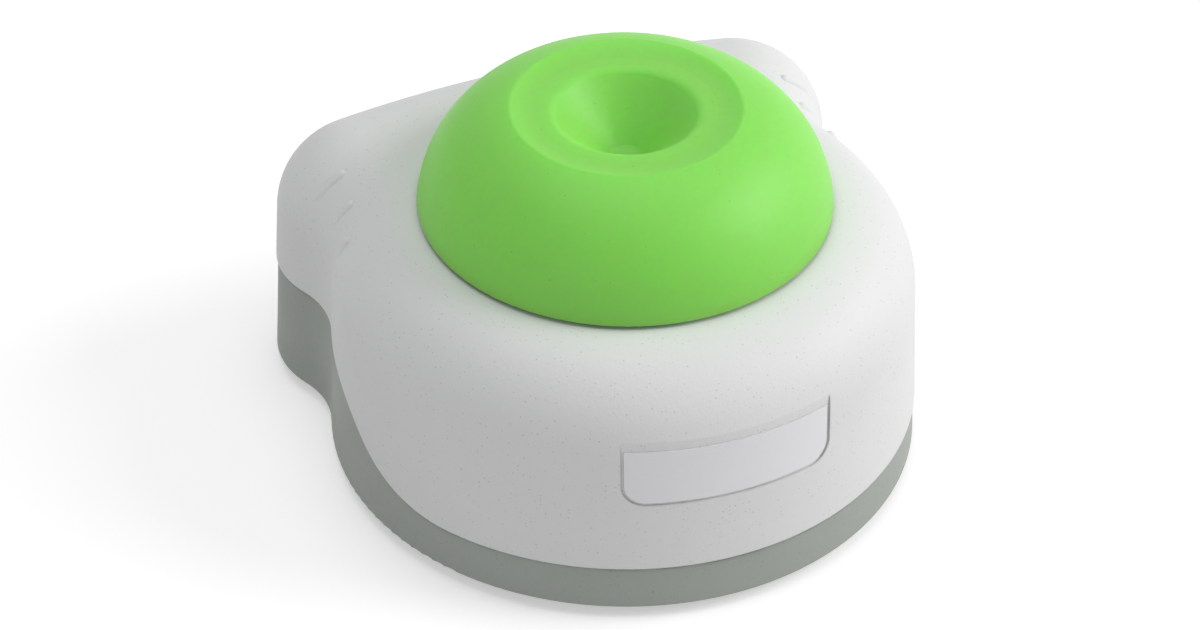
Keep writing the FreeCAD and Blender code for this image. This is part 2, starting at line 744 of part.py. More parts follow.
for number, (x, y) in enumerate(boss_places):
    cover_drills.append(cylinder("cover_pilot_%d" % number, screw_radius + hole_clearance,
                                 screw_grip + 1, x, y, foot_height + boss_split))
cover_plain = cut("cover_plain", cover_block, group("cover_drill_set", cover_drills))


# Label recess: a rounded window cut as deep as label_depth; it runs out into the shoulder
def label_window(name, inset):
    body = new_body(name)
    sketch = new_sketch(body, name + "_outline", "XZ_Plane")
    half = (drum_radius - label_depth) * sine(label_angle) - inset
    low = foot_height + label_bottom + inset
    top = cover_top
    corner = label_corner - inset
    profile(sketch, [
        (-half + corner, low),
        (half - corner, low, corner, 1),
        (half, low + corner),
        (half, top),
        (-half, top),
        (-half, low + corner, corner, 1),
    ])
    pad(body, sketch, drum_radius + margin, name + "_way")
    return body


def drum_cone(name, depth):
    """The drum's drafted wall, carried up straight and set in by depth."""
    top = drum_radius - case_height * taper - depth
    return turned(name, [(0, 0), (drum_radius - depth, 0), (top, case_height), (0, case_height)],
                  0, 0, foot_height)


label_floor = drum_cone("label_floor", label_depth)
label_cut = cut("label_cut", label_window("label_window", plain(0)), label_floor)
cover_labelled = cut("cover_labelled", cover_plain, label_cut)
label_face = drum_cone("label_face", label_depth - label_thickness)
label_slice = common("label_slice", label_window("label_outline", label_margin), label_face)
label_sheet = cut("label_sheet", label_slice, drum_cone("label_back", label_depth))
label_reach = shoulder_radius - label_depth + label_thickness - label_proud
label_rise = root(shoulder_radius * shoulder_radius - label_reach * label_reach)
label_top = box("label_top", drum_radius * 2, drum_radius * 2, margin, 0, -(drum_radius * 2),
                foot_height + case_height - shoulder_radius + label_rise)
node(cut("label_panel", label_sheet, label_top), "label_panel")

node(cover_labelled, "top_cover")

# Base pan: floor, wall up to the seam, lip inside the cover, bosses, foot and screw pockets
pan_outer = case_form("pan_outer", seam_step, 0, seam_rear + lip_height, None, edge_round)
pan_inner = case_form("pan_inner", seam_step + wall, floor_wall, seam_rear + lip_height * 2)
pan_skin = cut("pan_skin", pan_outer, pan_inner)
pan_under_seam = common("pan_under_seam", pan_skin, seam_block("pan_seam"))
lip_outer = case_form("lip_outer", wall + lip_clearance, floor_wall, seam_rear + lip_height * 2)
lip_inner = case_form("lip_inner", wall + lip_clearance + lip_wall, floor_wall,
                      seam_rear + lip_height * 2)
lip_skin = cut("lip_skin", lip_outer, lip_inner)
pan_lip = common("pan_lip", lip_skin, seam_block("lip_seam", lip_height))
pan_parts = [pan_under_seam, pan_lip]
for number, (x, y) in enumerate(boss_places):
    pan_parts.append(cylinder("pan_boss_%d" % number, pan_boss_radius,
                              boss_split - floor_wall / 2, x, y, foot_height + floor_wall / 2))
for number, (x, y) in enumerate(standoff_places):
    pan_parts.append(cylinder("standoff_%d" % number, standoff_radius,
                              standoff_height + floor_wall / 2, x, y, pan_top - floor_wall / 2))
pan_block = fuse("pan_block", pan_parts)
pan_drills = []
for number, (x, y) in enumerate(boss_places):
    pan_drills.append(cylinder("screw_pocket_%d" % number, screw_head_radius + head_clearance,
                               screw_seat + 1, x, y, foot_height - 1))
    pan_drills.append(cylinder("screw_hole_%d" % number, screw_radius + hole_clearance,
                               boss_split + 1, x, y, foot_height))
for number, (x, y) in enumerate(foot_places):
    pan_drills.append(cylinder("foot_pocket_%d" % number, foot_radius + foot_clearance,
                               foot_sink + 1, x, y, foot_height - 1))
countersink = screw_radius * 2
for number, (x, y) in enumerate(ballast_screw_places):
    sink = doc.addObject("Part::Cone", "countersink_%d" % number)
    bind(sink, "Radius1", countersink + hole_clearance)
    bind(sink, "Radius2", screw_radius + hole_clearance)
    bind(sink, "Height", screw_radius)
    pan_drills.append(place(sink, x, y, foot_height))
    pan_drills.append(cylinder("ballast_hole_%d" % number, screw_radius + hole_clearance,
                               floor_wall + 1, x, y, foot_height))
for number, (x, y) in enumerate(standoff_places):
    pan_drills.append(cylinder("standoff_hole_%d" % number, board_screw_radius + hole_clearance,
                               standoff_height + floor_wall / 2, x, y, pan_top - floor_wall / 2))
inlet_z = foot_height + inlet_height
inlet_hole = cylinder("inlet_hole", inlet_barrel_radius + inlet_clearance, margin, 0,
                      rear_reach - margin / 2, inlet_z)
inlet_hole.Placement.Rotation = FreeCAD.Rotation(Vector(1, 0, 0), -90)
pan_drills.append(inlet_hole)
node(cut("base_pan", pan_block, group("pan_drill_set", pan_drills)), "base_pan")

# Case screws, up through the pan into the cover's bosses
case_screws = []
for number, (x, y) in enumerate(boss_places):
    reach = boss_split - screw_seat + screw_grip
    case_screws.append(turned("case_screw_%d" % number, [
        (0, 0),
        (screw_head_radius, 0),
        (screw_head_radius, screw_head_height),
        (screw_radius, screw_head_height),
        (screw_radius, screw_head_height + reach),
        (0, screw_head_height + reach),
    ], x, y, foot_height + screw_seat - screw_head_height))
node(group("case_screw_set", case_screws), "case_screws")

# Rubber feet, let into the pan
feet = []
for number, (x, y) in enumerate(foot_places):
    chamfer = foot_height / 4
    feet.append(turned("foot_%d" % number, [
        (0, 0),
        (foot_radius - chamfer, 0),
        (foot_radius, chamfer),
        (foot_radius, foot_height + foot_sink),
        (0, foot_height + foot_sink),
    ], x, y, 0))
node(group("foot_set", feet), "rubber_feet")

# Ballast plate with its flat-headed screws
ballast = new_body("ballast", 0, 0, pan_top)
ballast_outline = new_sketch(ballast, "ballast_outline")
circles(ballast_outline, [(0, 0, ballast_radius)]
        + [(x, y, post_thread_radius + hole_clearance) for x, y in post_places]
        + [(x, y, screw_radius + hole_clearance) for x, y in ballast_screw_places])
pad(ballast, ballast_outline, ballast_thickness, "ballast_slab")
node(ballast, "ballast_plate")

ballast_screws = []
for number, (x, y) in enumerate(ballast_screw_places):
    reach = floor_wall + ballast_thickness - screw_radius
    ballast_screws.append(turned("ballast_screw_%d" % number, [
        (0, 0),
        (countersink, 0),
        (screw_radius, screw_radius),
        (screw_radius, reach),
        (0, reach),
    ], x, y, foot_height))
node(group("ballast_screw_set", ballast_screws), "ballast_screws")

# Guide posts: threaded into the ballast plate, headed above the motor plate
guide_posts = []
post_length = plate_top - ballast_top + stop_clearance
for number, (x, y) in enumerate(post_places):
    stem = turned("guide_stem_%d" % number, [
        (0, 1 - ballast_thickness),
        (post_thread_radius, 1 - ballast_thickness),
        (post_thread_radius, 0),
        (post_radius, 0),
        (post_radius, post_length),
        (post_head_radius, post_length),
        (post_head_radius, post_length + post_head_height),
        (0, post_length + post_head_height),
    ], x, y, ballast_top)
    slot = box("driver_slot_%d" % number, post_slot, post_head_radius * 2, post_head_height / 2,
               x, y - post_head_radius, ballast_top + post_length + post_head_height / 2)
    guide_posts.append(cut("guide_post_%d" % number, stem, slot))
node(group("guide_post_set", guide_posts), "guide_posts")

# Springs that hold the motor plate up against the post heads
springs = []
spring_start = ballast_top + spring_wire + spring_clearance
spring_end = plate_bottom - bush_flange - spring_wire - spring_clearance
for number, (x, y) in enumerate(post_places):
    coil = doc.addObject("Part::Helix", "spring_line_%d" % number)
    bind(coil, "Radius", spring_radius)
    bind(coil, "Height", spring_end - spring_start)
    bind(coil, "Pitch", (spring_end - spring_start) / spring_turns)
    place(coil, x, y, spring_start)
    wire = doc.addObject("Part::Circle", "spring_section_%d" % number)
    bind(wire, "Radius", spring_wire)
    place(wire, x + spring_radius, y, spring_start)
    wire.Placement.Rotation = FreeCAD.Rotation(Vector(1, 0, 0), 90)
    spring = doc.addObject("Part::Sweep", "spring_%d" % number)
    spring.Sections = [wire]
    spring.Spine = coil
    spring.Solid = True
    spring.Frenet = True
    springs.append(spring)
node(group("spring_set", springs), "carriage_springs")

# Motor plate with three ears on the posts
plate = new_body("plate", 0, 0, plate_bottom)
plate_outline = new_sketch(plate, "plate_outline")
circles(plate_outline, [(0, 0, plate_radius)])
pad(plate, plate_outline, plate_thickness, "plate_disc")
ear_outline = new_sketch(plate, "ear_outline")
ear_start = plate_radius - ear_radius
profile(ear_outline, [
    (-ear_radius, ear_start),
    (ear_radius, ear_start),
    (ear_radius, post_ring, ear_radius * 1.05, 1),
    (-ear_radius, post_ring),
])
ear = pad(plate, ear_outline, plate_thickness, "ear")
doc.recompute()
ears = plate.newObject("PartDesign::PolarPattern", "ears")
ears.Originals = [ear]
ears.Axis = (ear_outline, ["N_Axis"])
ears.Angle = 360
ears.Occurrences = 3
plate.Tip = ears
doc.recompute()
plate_holes = new_sketch(plate, "plate_holes")
circles(plate_holes, [(0, 0, can_boss_radius + fit_clearance)]
        + [(x, y, post_radius + bush_wall + fit_clearance) for x, y in post_places]
        + [(x, y, pin_radius + fit_clearance) for x, y in pin_places]
        + [(x, y, screw_radius + hole_clearance) for x, y in motor_screw_places])
pocket_through(plate, plate_holes, "plate_drilling")
node(plate, "motor_plate")

# Flanged bushes that slide on the posts
bushes = []
for number, (x, y) in enumerate(post_places):
    bore = post_radius + running_clearance
    sleeve = post_radius + bush_wall
    bushes.append(turned("bush_%d" % number, [
        (bore, -bush_flange),
        (bush_flange_radius, -bush_flange),
        (bush_flange_radius, 0),
        (sleeve, 0),
        (sleeve, plate_thickness),
        (bore, plate_thickness),
    ], x, y, plate_bottom))
node(group("bush_set", bushes), "guide_bushes")

# Steady pins: they keep the head from turning while it orbits
pins = []
pin_length = flange_top - plate_bottom - pin_radius / 2
for number, (x, y) in enumerate(pin_places):
    pins.append(turned("steady_pin_%d" % number, [
        (0, fit_clearance),
        (pin_radius, fit_clearance),
        (pin_radius, pin_length - pin_radius / 2),
        (pin_radius / 2, pin_length),
        (0, pin_length),
    ], x, y, plate_bottom))
node(group("pin_set", pins), "steady_pins")

# Motor: can, end cap, bushes, magnets, brushes
can_inner = motor_radius - can_wall
can = turned("can", [
    (can_inner, 0),
    (motor_radius, 0),
    (motor_radius, motor_length),
    (can_boss_radius, motor_length),
    (can_boss_radius, motor_length + can_boss_height),
    (motor_bush_radius + fit_clearance, motor_length + can_boss_height),
    (motor_bush_radius + fit_clearance, motor_length - can_end),
    (can_inner, motor_length - can_end),
], 0, 0, motor_bottom)
can_taps = [cylinder("can_tap_%d" % number, screw_radius + hole_clearance, can_end + 1, x, y,
                     plate_bottom - can_end - 0.5)
            for number, (x, y) in enumerate(motor_screw_places)]
node(cut("can_tapped", can, group("can_tap_set", can_taps)), "motor_can")

node(turned("front_bush", [
    (shaft_radius + running_clearance, 0),
    (motor_bush_radius, 0),
    (motor_bush_radius, motor_bush_length),
    (shaft_radius + running_clearance, motor_bush_length),
], 0, 0, plate_bottom + can_boss_height - motor_bush_length), "motor_front_bush")

node(turned("end_cap", [
    (motor_bush_radius + fit_clearance, 0),
    (can_inner - fit_clearance, 0),
    (can_inner - fit_clearance, cap_thickness),
    (motor_bush_radius + fit_clearance, cap_thickness),
], 0, 0, motor_bottom), "motor_end_cap")

node(turned("rear_bush", [
    (shaft_radius + running_clearance, 0),
    (motor_bush_radius, 0),
    (motor_bush_radius, cap_thickness),
    (shaft_radius + running_clearance, cap_thickness),
], 0, 0, motor_bottom), "motor_rear_bush")

armature_middle = motor_bottom + (cap_thickness + motor_length - can_end) / 2 + 0.5
magnet_outer = can_inner - fit_clearance
magnet_inner = magnet_outer - magnet_wall
magnets = []
for number, first in enumerate((0, half_turn)):
    shell = []
    for label, radius in (("outer", magnet_outer), ("inner", magnet_inner)):
        piece = cylinder("magnet_%s_%d" % (label, number), radius, magnet_length)
        turn(piece, plain(first) - magnet_angle)
        place(piece, 0, 0, armature_middle - magnet_length / 2)
        bind(piece, "Angle", magnet_angle * 2)
        shell.append(piece)
    magnets.append(cut("magnet_%d" % number, shell[0], shell[1]))
node(group("magnet_set", magnets), "motor_magnets")

brushes = []
brush_length = can_inner / 3
for number, side in enumerate((1, -1)):
    middle = (commutator_radius + running_clearance + brush_length / 2) * side
    brushes.append(box("brush_%d" % number, brush_length, commutator_radius, commutator_length,
                       middle, -commutator_radius / 2, motor_bottom + cap_thickness))
node(group("brush_set", brushes), "motor_brushes")

# Turning parts of the motor
core_radius = magnet_inner - air_gap
core = cylinder("core", core_radius, armature_length, 0, 0, armature_middle - armature_length / 2)
slot_ring = core_radius - slot_hole_radius - 1.2
slots = [cylinder("shaft_hole", shaft_radius + fit_clearance, armature_length, 0, 0,
                  armature_middle - armature_length / 2)]
for number, (x, y) in enumerate(ring_places(armature_slots, slot_ring, 90)):
    slots.append(cylinder("slot_%d" % number, slot_hole_radius, armature_length, x, y,
                          armature_middle - armature_length / 2))
    angle = 360 / armature_slots * number
    mouth = box("slot_mouth_%d" % number, slot_mouth, core_radius, armature_length)
    turn(mouth, angle)
    side = cosine(angle) * (slot_mouth / 2)
    place(mouth, -side - sine(angle) * slot_ring,
          cosine(angle) * slot_ring - sine(angle) * (slot_mouth / 2),
          armature_middle - armature_length / 2)
    slots.append(mouth)
node(cut("core_slotted", core, group("slot_set", slots)), "armature_core")

windings = []
for number, side in enumerate((1, -1)):
    start = armature_middle + side * armature_length / 2
    if side < 0:
        start = start - winding_height
    windings.append(turned("winding_%d" % number, [
        (shaft_radius * 2.5, 0),
        (slot_ring, 0),
        (slot_ring, winding_height * 0.6),
        (slot_ring - winding_height, winding_height),
        (shaft_radius * 2.5, winding_height),
    ], 0, 0, start))
node(group("winding_set", windings), "armature_windings")

node(turned("commutator", [
    (shaft_radius + fit_clearance, 0),
    (commutator_radius, 0),
    (commutator_radius, commutator_length),
    (shaft_radius + fit_clearance, commutator_length),
], 0, 0, motor_bottom + cap_thickness + running_clearance), "motor_commutator")

shaft_top = hub_top - 0.6
shaft_bottom = motor_bottom - 0.3
node(cylinder("shaft", shaft_radius, shaft_top - shaft_bottom, 0, 0, shaft_bottom), "motor_shaft")

# Motor screws
motor_screws = []
for number, (x, y) in enumerate(motor_screw_places):
    reach = plate_thickness + can_end
    motor_screws.append(turned("motor_screw_%d" % number, [
        (0, -reach),
        (screw_radius, -reach),
        (screw_radius, 0),
        (motor_screw_head, 0),
        (motor_screw_head, motor_screw_height),
        (0, motor_screw_height),
    ], x, y, plate_top))
node(group("motor_screw_set", motor_screws), "motor_screws")

# Eccentric: hub on the shaft, counterweight on one side, crank pin on the other
hub = cylinder("hub", hub_radius, hub_height, 0, 0, hub_bottom)
weight = cylinder("weight", weight_radius, weight_height)
turn(weight, crank_angle + half_turn - weight_angle)
place(weight, 0, 0, hub_top - weight_height)
bind(weight, "Angle", weight_angle * 2)
crank_pin = cylinder("crank_pin", crank_radius, crank_top - hub_top + hub_height / 8, head_x,
                     head_y, hub_top - hub_height / 8)
crank_shoulder = cylinder("crank_shoulder", crank_radius + bearing_ring / 2, bearing_lift, head_x,
                          head_y, hub_top)
eccentric_block = fuse("eccentric_block", [hub, weight, crank_pin, crank_shoulder])
hub_bore = cylinder("hub_bore", shaft_radius + fit_clearance, hub_height - 0.5, 0, 0, hub_bottom)
set_hole = cylinder("set_hole", set_screw_radius + hole_clearance, weight_radius, 0, 0, 0)
clip_groove_block = cylinder("clip_groove_block", clip_radius, clip_thickness, head_x, head_y,
                             bearing_top)
clip_groove_core = cylinder("clip_groove_core", crank_radius * 0.8, clip_thickness, head_x, head_y,
                            bearing_top)
clip_groove = cut("clip_groove", clip_groove_block, clip_groove_core)


def lie_along_crank(piece, start, height):
    """Lay a standing cylinder down, pointing from the drive axis towards the crank."""
    piece.Placement.Rotation = FreeCAD.Rotation(Vector(0, 1, 0), 90)
    tilt = FreeCAD.Rotation(Vector(0, 0, 1), crank_angle.value)
    piece.Placement.Rotation = tilt.multiply(FreeCAD.Rotation(Vector(0, 1, 0), 90))
    return place(piece, start * cosine(crank_angle), start * sine(crank_angle), height)


set_height = hub_bottom + hub_height * 0.4
lie_along_crank(set_hole, plain(0), set_height)
node(cut("eccentric", eccentric_block, group("eccentric_drills", [hub_bore, set_hole, clip_groove])),
     "eccentric_crank")
set_screw = cylinder("set_screw_body", set_screw_radius, hub_radius - shaft_radius - 0.5)
lie_along_crank(set_screw, shaft_radius + fit_clearance, set_height)
node(set_screw, "crank_set_screw")

clip_ring = cylinder("clip_ring", clip_radius, clip_thickness - 0.1, head_x, head_y,
                     bearing_top + 0.05)
clip_hole = cylinder("clip_hole", crank_radius * 0.8 + fit_clearance, clip_thickness, head_x,
                     head_y, bearing_top)
clip_mouth = box("clip_mouth", crank_radius, clip_radius * 2, clip_thickness, head_x, head_y,
                 bearing_top)
node(cut("clip", clip_ring, group("clip_opening", [clip_hole, clip_mouth])), "bearing_clip")

# Two ball bearings on the crank pin, with a ring between them
inner_race = crank_radius + bearing_ring
outer_race = bearing_radius - bearing_ring
ball_ring = (inner_race + outer_race) / 2
groove = ball_radius + running_clearance


def race(name, inside, outside, start):
    ring = turned(name + "_ring", [(inside, 0), (outside, 0), (outside, bearing_width),
                                   (inside, bearing_width)], head_x, head_y, start)
    track = torus(name + "_track", ball_ring, groove, 0)
    place(track, head_x, head_y, start + bearing_width / 2)
    return cut(name, ring, track)


inner_rings = []
outer_rings = []
balls_set = []
for number, start in enumerate((bearing_bottom, upper_bearing)):
    inner_rings.append(race("inner_race_%d" % number, crank_radius + fit_clearance / 5,
                            inner_race, start))
    outer_rings.append(race("outer_race_%d" % number, outer_race,
                            bearing_radius - fit_clearance / 5, start))
    for count, (x, y) in enumerate(ring_places(balls, ball_ring, 90, head_x, head_y)):
        balls_set.append(ball("ball_%d_%d" % (number, count), ball_radius, x, y,
                              start + bearing_width / 2))
node(group("inner_ring_set", inner_rings), "bearing_inner_rings")
node(group("outer_ring_set", outer_rings), "bearing_outer_rings")
node(group("ball_set", balls_set), "bearing_balls")
node(turned("spacer", [
    (crank_radius + fit_clearance, 0),
    (inner_race, 0),
    (inner_race, spacer_width),
    (crank_radius + fit_clearance, spacer_width),
], head_x, head_y, bearing_bottom + bearing_width), "bearing_spacer")

# Head: silicone dome with its dished top and cup, heights above the skirt
rim_height = dome_height
dish_height = rim_height + 0.05 - dish_depth
cup_bottom = dish_height - cup_depth
cup_under = cup_bottom - cup_floor
dome_chord_x = head_radius - dome_top_radius
chord_square = dome_chord_x * dome_chord_x + dome_height * dome_height
chord = root(chord_square)
sagitta_reach = root(dome_radius * dome_radius - chord_square / 4)
dome_centre_x = (head_radius + dome_top_radius) / 2 - sagitta_reach * dome_height / chord
dome_centre_z = dome_height / 2 - sagitta_reach * dome_chord_x / chord
lining_radius = dome_radius - head_wall
ledge_height = lip_hook_height + flange_thickness + core_clearance * 2
ledge_rise = ledge_height - dome_centre_z
lining_start = dome_centre_x + root(lining_radius * lining_radius - ledge_rise * ledge_rise)
ceiling_height = dish_height - dish_wall
ceiling_rise = ceiling_height - dome_centre_z
lining_end = dome_centre_x + root(lining_radius * lining_radius - ceiling_rise * ceiling_rise)
cone_slope = ((cup_radius - cup_bottom_radius)
              / (cup_depth - cup_lip_drop - cup_bottom_rise))
cone_foot = cup_bottom_radius + cup_wall - (cup_bottom_rise + cup_floor) * cone_slope
cone_head = cone_foot + (ceiling_height - cup_under) * cone_slope
flange_radius = head_radius - head_wall - core_clearance
head = turned("head", [
    (head_radius - head_wall - lip_hook, 0),
    (head_radius, 0, dome_radius, 1),
    (dome_top_radius, dome_height, rim_round, 1),
    (rim_radius, dome_height + 0.05, dish_round, -1),
    (dish_radius, dish_height),
    (lip_start, dish_height, lip_round, 1),
    (cup_radius, dish_height - cup_lip_drop),
    (cup_bottom_radius, cup_bottom + cup_bottom_rise, cup_bottom_round, -1),
    (0, cup_bottom),
    (0, cup_under),
    (cone_foot, cup_under),
    (cone_head, ceiling_height),
    (lining_end, ceiling_height, lining_radius, -1),
    (lining_start, ledge_height),
    (flange_radius + core_clearance, ledge_height),
    (flange_radius + core_clearance, lip_hook_height),
    (head_radius - head_wall - lip_hook, lip_hook_height),
], head_x, head_y, head_bottom)
node(head, "cup_head")

# Core of the head: flange, bearing housing and ribs that carry the silicone
housing_bottom = bearing_bottom - bearing_lift / 2 - head_bottom
housing_radius = bearing_radius + core_boss_wall
shelf = bearing_top - head_bottom
cavity_top = crank_top + 0.4 - head_bottom
housing_top = cup_under - core_clearance
flange_low = flange_bottom - head_bottom
flange_high = flange_top - head_bottom
core_turned = turned("core_turned", [
    (bearing_radius, housing_bottom),
    (housing_radius, housing_bottom),
    (housing_radius, flange_low),
    (flange_radius, flange_low),
    (flange_radius, flange_high),
    (housing_radius, flange_high),
    (housing_radius - core_boss_wall / 2, housing_top),
    (0, housing_top),
    (0, cavity_top),
    (outer_race, cavity_top),
    (outer_race, shelf),
    (bearing_radius, shelf),
], head_x, head_y, head_bottom)
web_radius = lining_radius - rib_clearance
rib_ceiling = ceiling_height - rib_clearance
rib_start_rise = flange_high - 0.2 - dome_centre_z
rib_rise = rib_ceiling - dome_centre_z
rib_foot = cone_foot + rib_clearance * 1.5 + (housing_top - cup_under) * cone_slope
rib_head = rib_foot + (rib_ceiling - housing_top) * cone_slope
rib_form = turned("rib_form", [
    (housing_radius - core_boss_wall, flange_high - 0.2),
    (dome_centre_x + root(web_radius * web_radius - rib_start_rise * rib_start_rise),
     flange_high - 0.2, web_radius, 1),
    (dome_centre_x + root(web_radius * web_radius - rib_rise * rib_rise), rib_ceiling),
    (rib_head, rib_ceiling),
    (housing_radius - core_boss_wall,
     housing_top + (housing_radius - core_boss_wall - rib_foot) / cone_slope),
], head_x, head_y, head_bottom)
webs = []
for number in range(core_ribs):
    angle = 360 / core_ribs * number
    web = box("web_%d" % number, head_radius, core_rib_wall, dome_height)
    turn(web, angle)
    place(web, head_x + sine(angle) * (core_rib_wall / 2),
          head_y - cosine(angle) * (core_rib_wall / 2), head_bottom)
    webs.append(web)
core_ribs_cut = common("core_ribs", rib_form, group("web_set", webs))
core_solid = fuse("core_solid", [core_turned, core_ribs_cut])
grommet_places = ring_places(3, pin_ring, 30, head_x, head_y)
core_drills = [cylinder("core_hole_%d" % number, grommet_hole + grommet_wall + fit_clearance,
                        dome_height, x, y, head_bottom)
               for number, (x, y) in enumerate(grommet_places)]
node(cut("core_drilled", core_solid, group("core_drill_set", core_drills)), "head_core")

grommets = []
for number, (x, y) in enumerate(grommet_places):
    grommets.append(turned("grommet_%d" % number, [
        (grommet_hole, 0),
        (grommet_hole + grommet_wall, 0),
        (grommet_hole + grommet_wall, flange_thickness),
        (grommet_hole, flange_thickness),
    ], x, y, flange_bottom))
node(group("grommet_set", grommets), "pin_grommets")

# Press switch on its bracket beside the motor; the motor plate pushes the plunger down
switch_top = plate_bottom - plunger_gap - plunger_height
switch_middle = -(switch_x + switch_width / 2)
switch_front = switch_y - switch_length / 2
body_block = box("switch_block", switch_width, switch_length, switch_height, switch_middle,
                 switch_front, switch_top - switch_height)
plunger_hole = box("plunger_hole", plunger_width + running_clearance * 2,
                   plunger_length + running_clearance * 2, plunger_depth + press_travel + 0.3,
                   switch_middle, switch_y - plunger_length / 2 - running_clearance,
                   switch_top - plunger_depth - press_travel - 0.2)
switch_drills = [plunger_hole]
switch_screws = []
screw_height = switch_top - switch_height + switch_screw_radius * 2.5
bracket_face = -(switch_x + switch_width)


def lie_along_x(piece, x, y, z):
    piece.Placement.Rotation = FreeCAD.Rotation(Vector(0, 1, 0), 90)
    return place(piece, x, y, z)


for number, side in enumerate((1, -1)):
    y = switch_y + side * switch_screw_pitch / 2
    hole = cylinder("switch_hole_%d" % number, switch_screw_radius + hole_clearance,
                    switch_width + bracket_wall * 2)
    switch_drills.append(lie_along_x(hole, bracket_face - bracket_wall * 1.5, y, screw_height))
    shank = cylinder("switch_shank_%d" % number, switch_screw_radius,
                     switch_width + bracket_wall)
    lie_along_x(shank, bracket_face - bracket_wall, y, screw_height)
    screw_cap = cylinder("switch_cap_%d" % number, switch_screw_radius * 1.9, switch_screw_radius)
    lie_along_x(screw_cap, -switch_x, y, screw_height)
    switch_screws.append(fuse("switch_screw_%d" % number, [shank, screw_cap]))
switch_drill_set = group("switch_drill_set", switch_drills)
node(cut("switch", body_block, switch_drill_set), "switch_body")
node(group("switch_screw_set", switch_screws), "switch_screws")
node(box("plunger", plunger_width, plunger_length, plunger_depth + plunger_height, switch_middle,
         switch_y - plunger_length / 2, switch_top - plunger_depth), "switch_plunger")

bracket_back = box("bracket_back", bracket_wall, switch_length, switch_top - ballast_top,
                   bracket_face - bracket_wall / 2, switch_front, ballast_top)
bracket_base = box("bracket_base", bracket_foot, switch_length, bracket_wall,
                   bracket_face - bracket_wall + bracket_foot / 2, switch_front, ballast_top)
bracket_block = fuse("bracket_block", [bracket_back, bracket_base])
node(cut("bracket", bracket_block, switch_drill_set), "switch_bracket")

# Circuit board on two standoffs, with its parts
board_bottom = pan_top + standoff_height
board_top = board_bottom + board_thickness
board_block = box("board_block", board_width, board_depth, board_thickness, 0, board_y,
                  board_bottom)
board_drills = [cylinder("board_hole_%d" % number, board_screw_radius + hole_clearance,
                         board_thickness, x, y, board_bottom)
                for number, (x, y) in enumerate(standoff_places)]
node(cut("board", board_block, group("board_drill_set", board_drills)), "circuit_board")
board_screws = []
for number, (x, y) in enumerate(standoff_places):
    reach = board_thickness + standoff_height
    board_screws.append(turned("board_screw_%d" % number, [
        (0, -reach),
        (board_screw_radius, -reach),
        (board_screw_radius, 0),
        (board_screw_head, 0),
        (board_screw_head, board_screw_radius),
        (0, board_screw_radius),
    ], x, y, board_top))
node(group("board_screw_set", board_screws), "board_screws")
capacitors = [cylinder("capacitor_%d" % number, board_depth / 5, board_depth * 0.55, x,
                       board_y + board_depth / 4, board_top)
              for number, x in enumerate((board_width * 0.22, board_width * 0.38))]
node(group("capacitor_set", capacitors), "board_capacitors")
node(box("regulator", board_width / 4, board_depth / 3, board_depth, -(board_width * 0.27),
         board_y + board_depth * 0.1, board_top), "speed_regulator")
sockets = [box("lead_socket_%d" % number, board_width / 7, board_depth * 0.3, board_depth * 0.4,
               side * board_width * 0.25, board_y + board_depth * 0.6, board_top)
           for number, side in enumerate((1, -1))]
node(group("lead_socket_set", sockets), "lead_sockets")

# Power inlet on the board, its round nose in the pan's back wall
wall_face = rear_reach - seam_step - inlet_height * taper
nose_end = wall_face - inlet_recess
housing_end = (rear_reach - wall - lip_clearance - lip_wall - inlet_clearance
               - (inlet_height + inlet_rise) * taper)
inlet_block = box("inlet_block", inlet_width, housing_end - inlet_front,
                  inlet_z + inlet_rise - board_top, 0, inlet_front, board_top)


def lie_backwards(piece, x, y, z):
    piece.Placement.Rotation = FreeCAD.Rotation(Vector(1, 0, 0), -90)
    return place(piece, x, y, z)


nose = cylinder("inlet_nose", inlet_barrel_radius, nose_end - inlet_front)
lie_backwards(nose, 0, inlet_front, inlet_z)
inlet_solid = fuse("inlet_solid", [inlet_block, nose])
socket = cylinder("inlet_socket", inlet_bore, inlet_depth + 1)
lie_backwards(socket, 0, nose_end - inlet_depth, inlet_z)
node(cut("inlet", inlet_solid, socket), "power_inlet")
inlet_pin = cylinder("inlet_pin_body", inlet_pin_radius, inlet_depth - 1)
node(lie_backwards(inlet_pin, 0, nose_end - inlet_depth, inlet_z), "inlet_pin")

doc.recompute()
for piece in doc.Objects:
    if "Invalid" in piece.State or "Error" in piece.State:
        raise RuntimeError("%s (%s) failed: %s" % (piece.Name, piece.Label, piece.State))
os.makedirs("parts", exist_ok=True)
for piece in nodes:
    shape = piece.Shape
    if shape.isNull() or not shape.isValid():
        raise RuntimeError("%s has no valid shape" % piece.Label)
for piece in nodes:
    shape = piece.Shape
    shape.exportStep(os.path.join("parts", piece.Label + ".step"))
    print("%-22s solids %2d faces %4d volume %9.1f" % (piece.Label, len(shape.Solids),
                                                       len(shape.Faces), shape.Volume))
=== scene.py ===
import json
import math

import bmesh
import bpy
from mathutils import Matrix, Vector


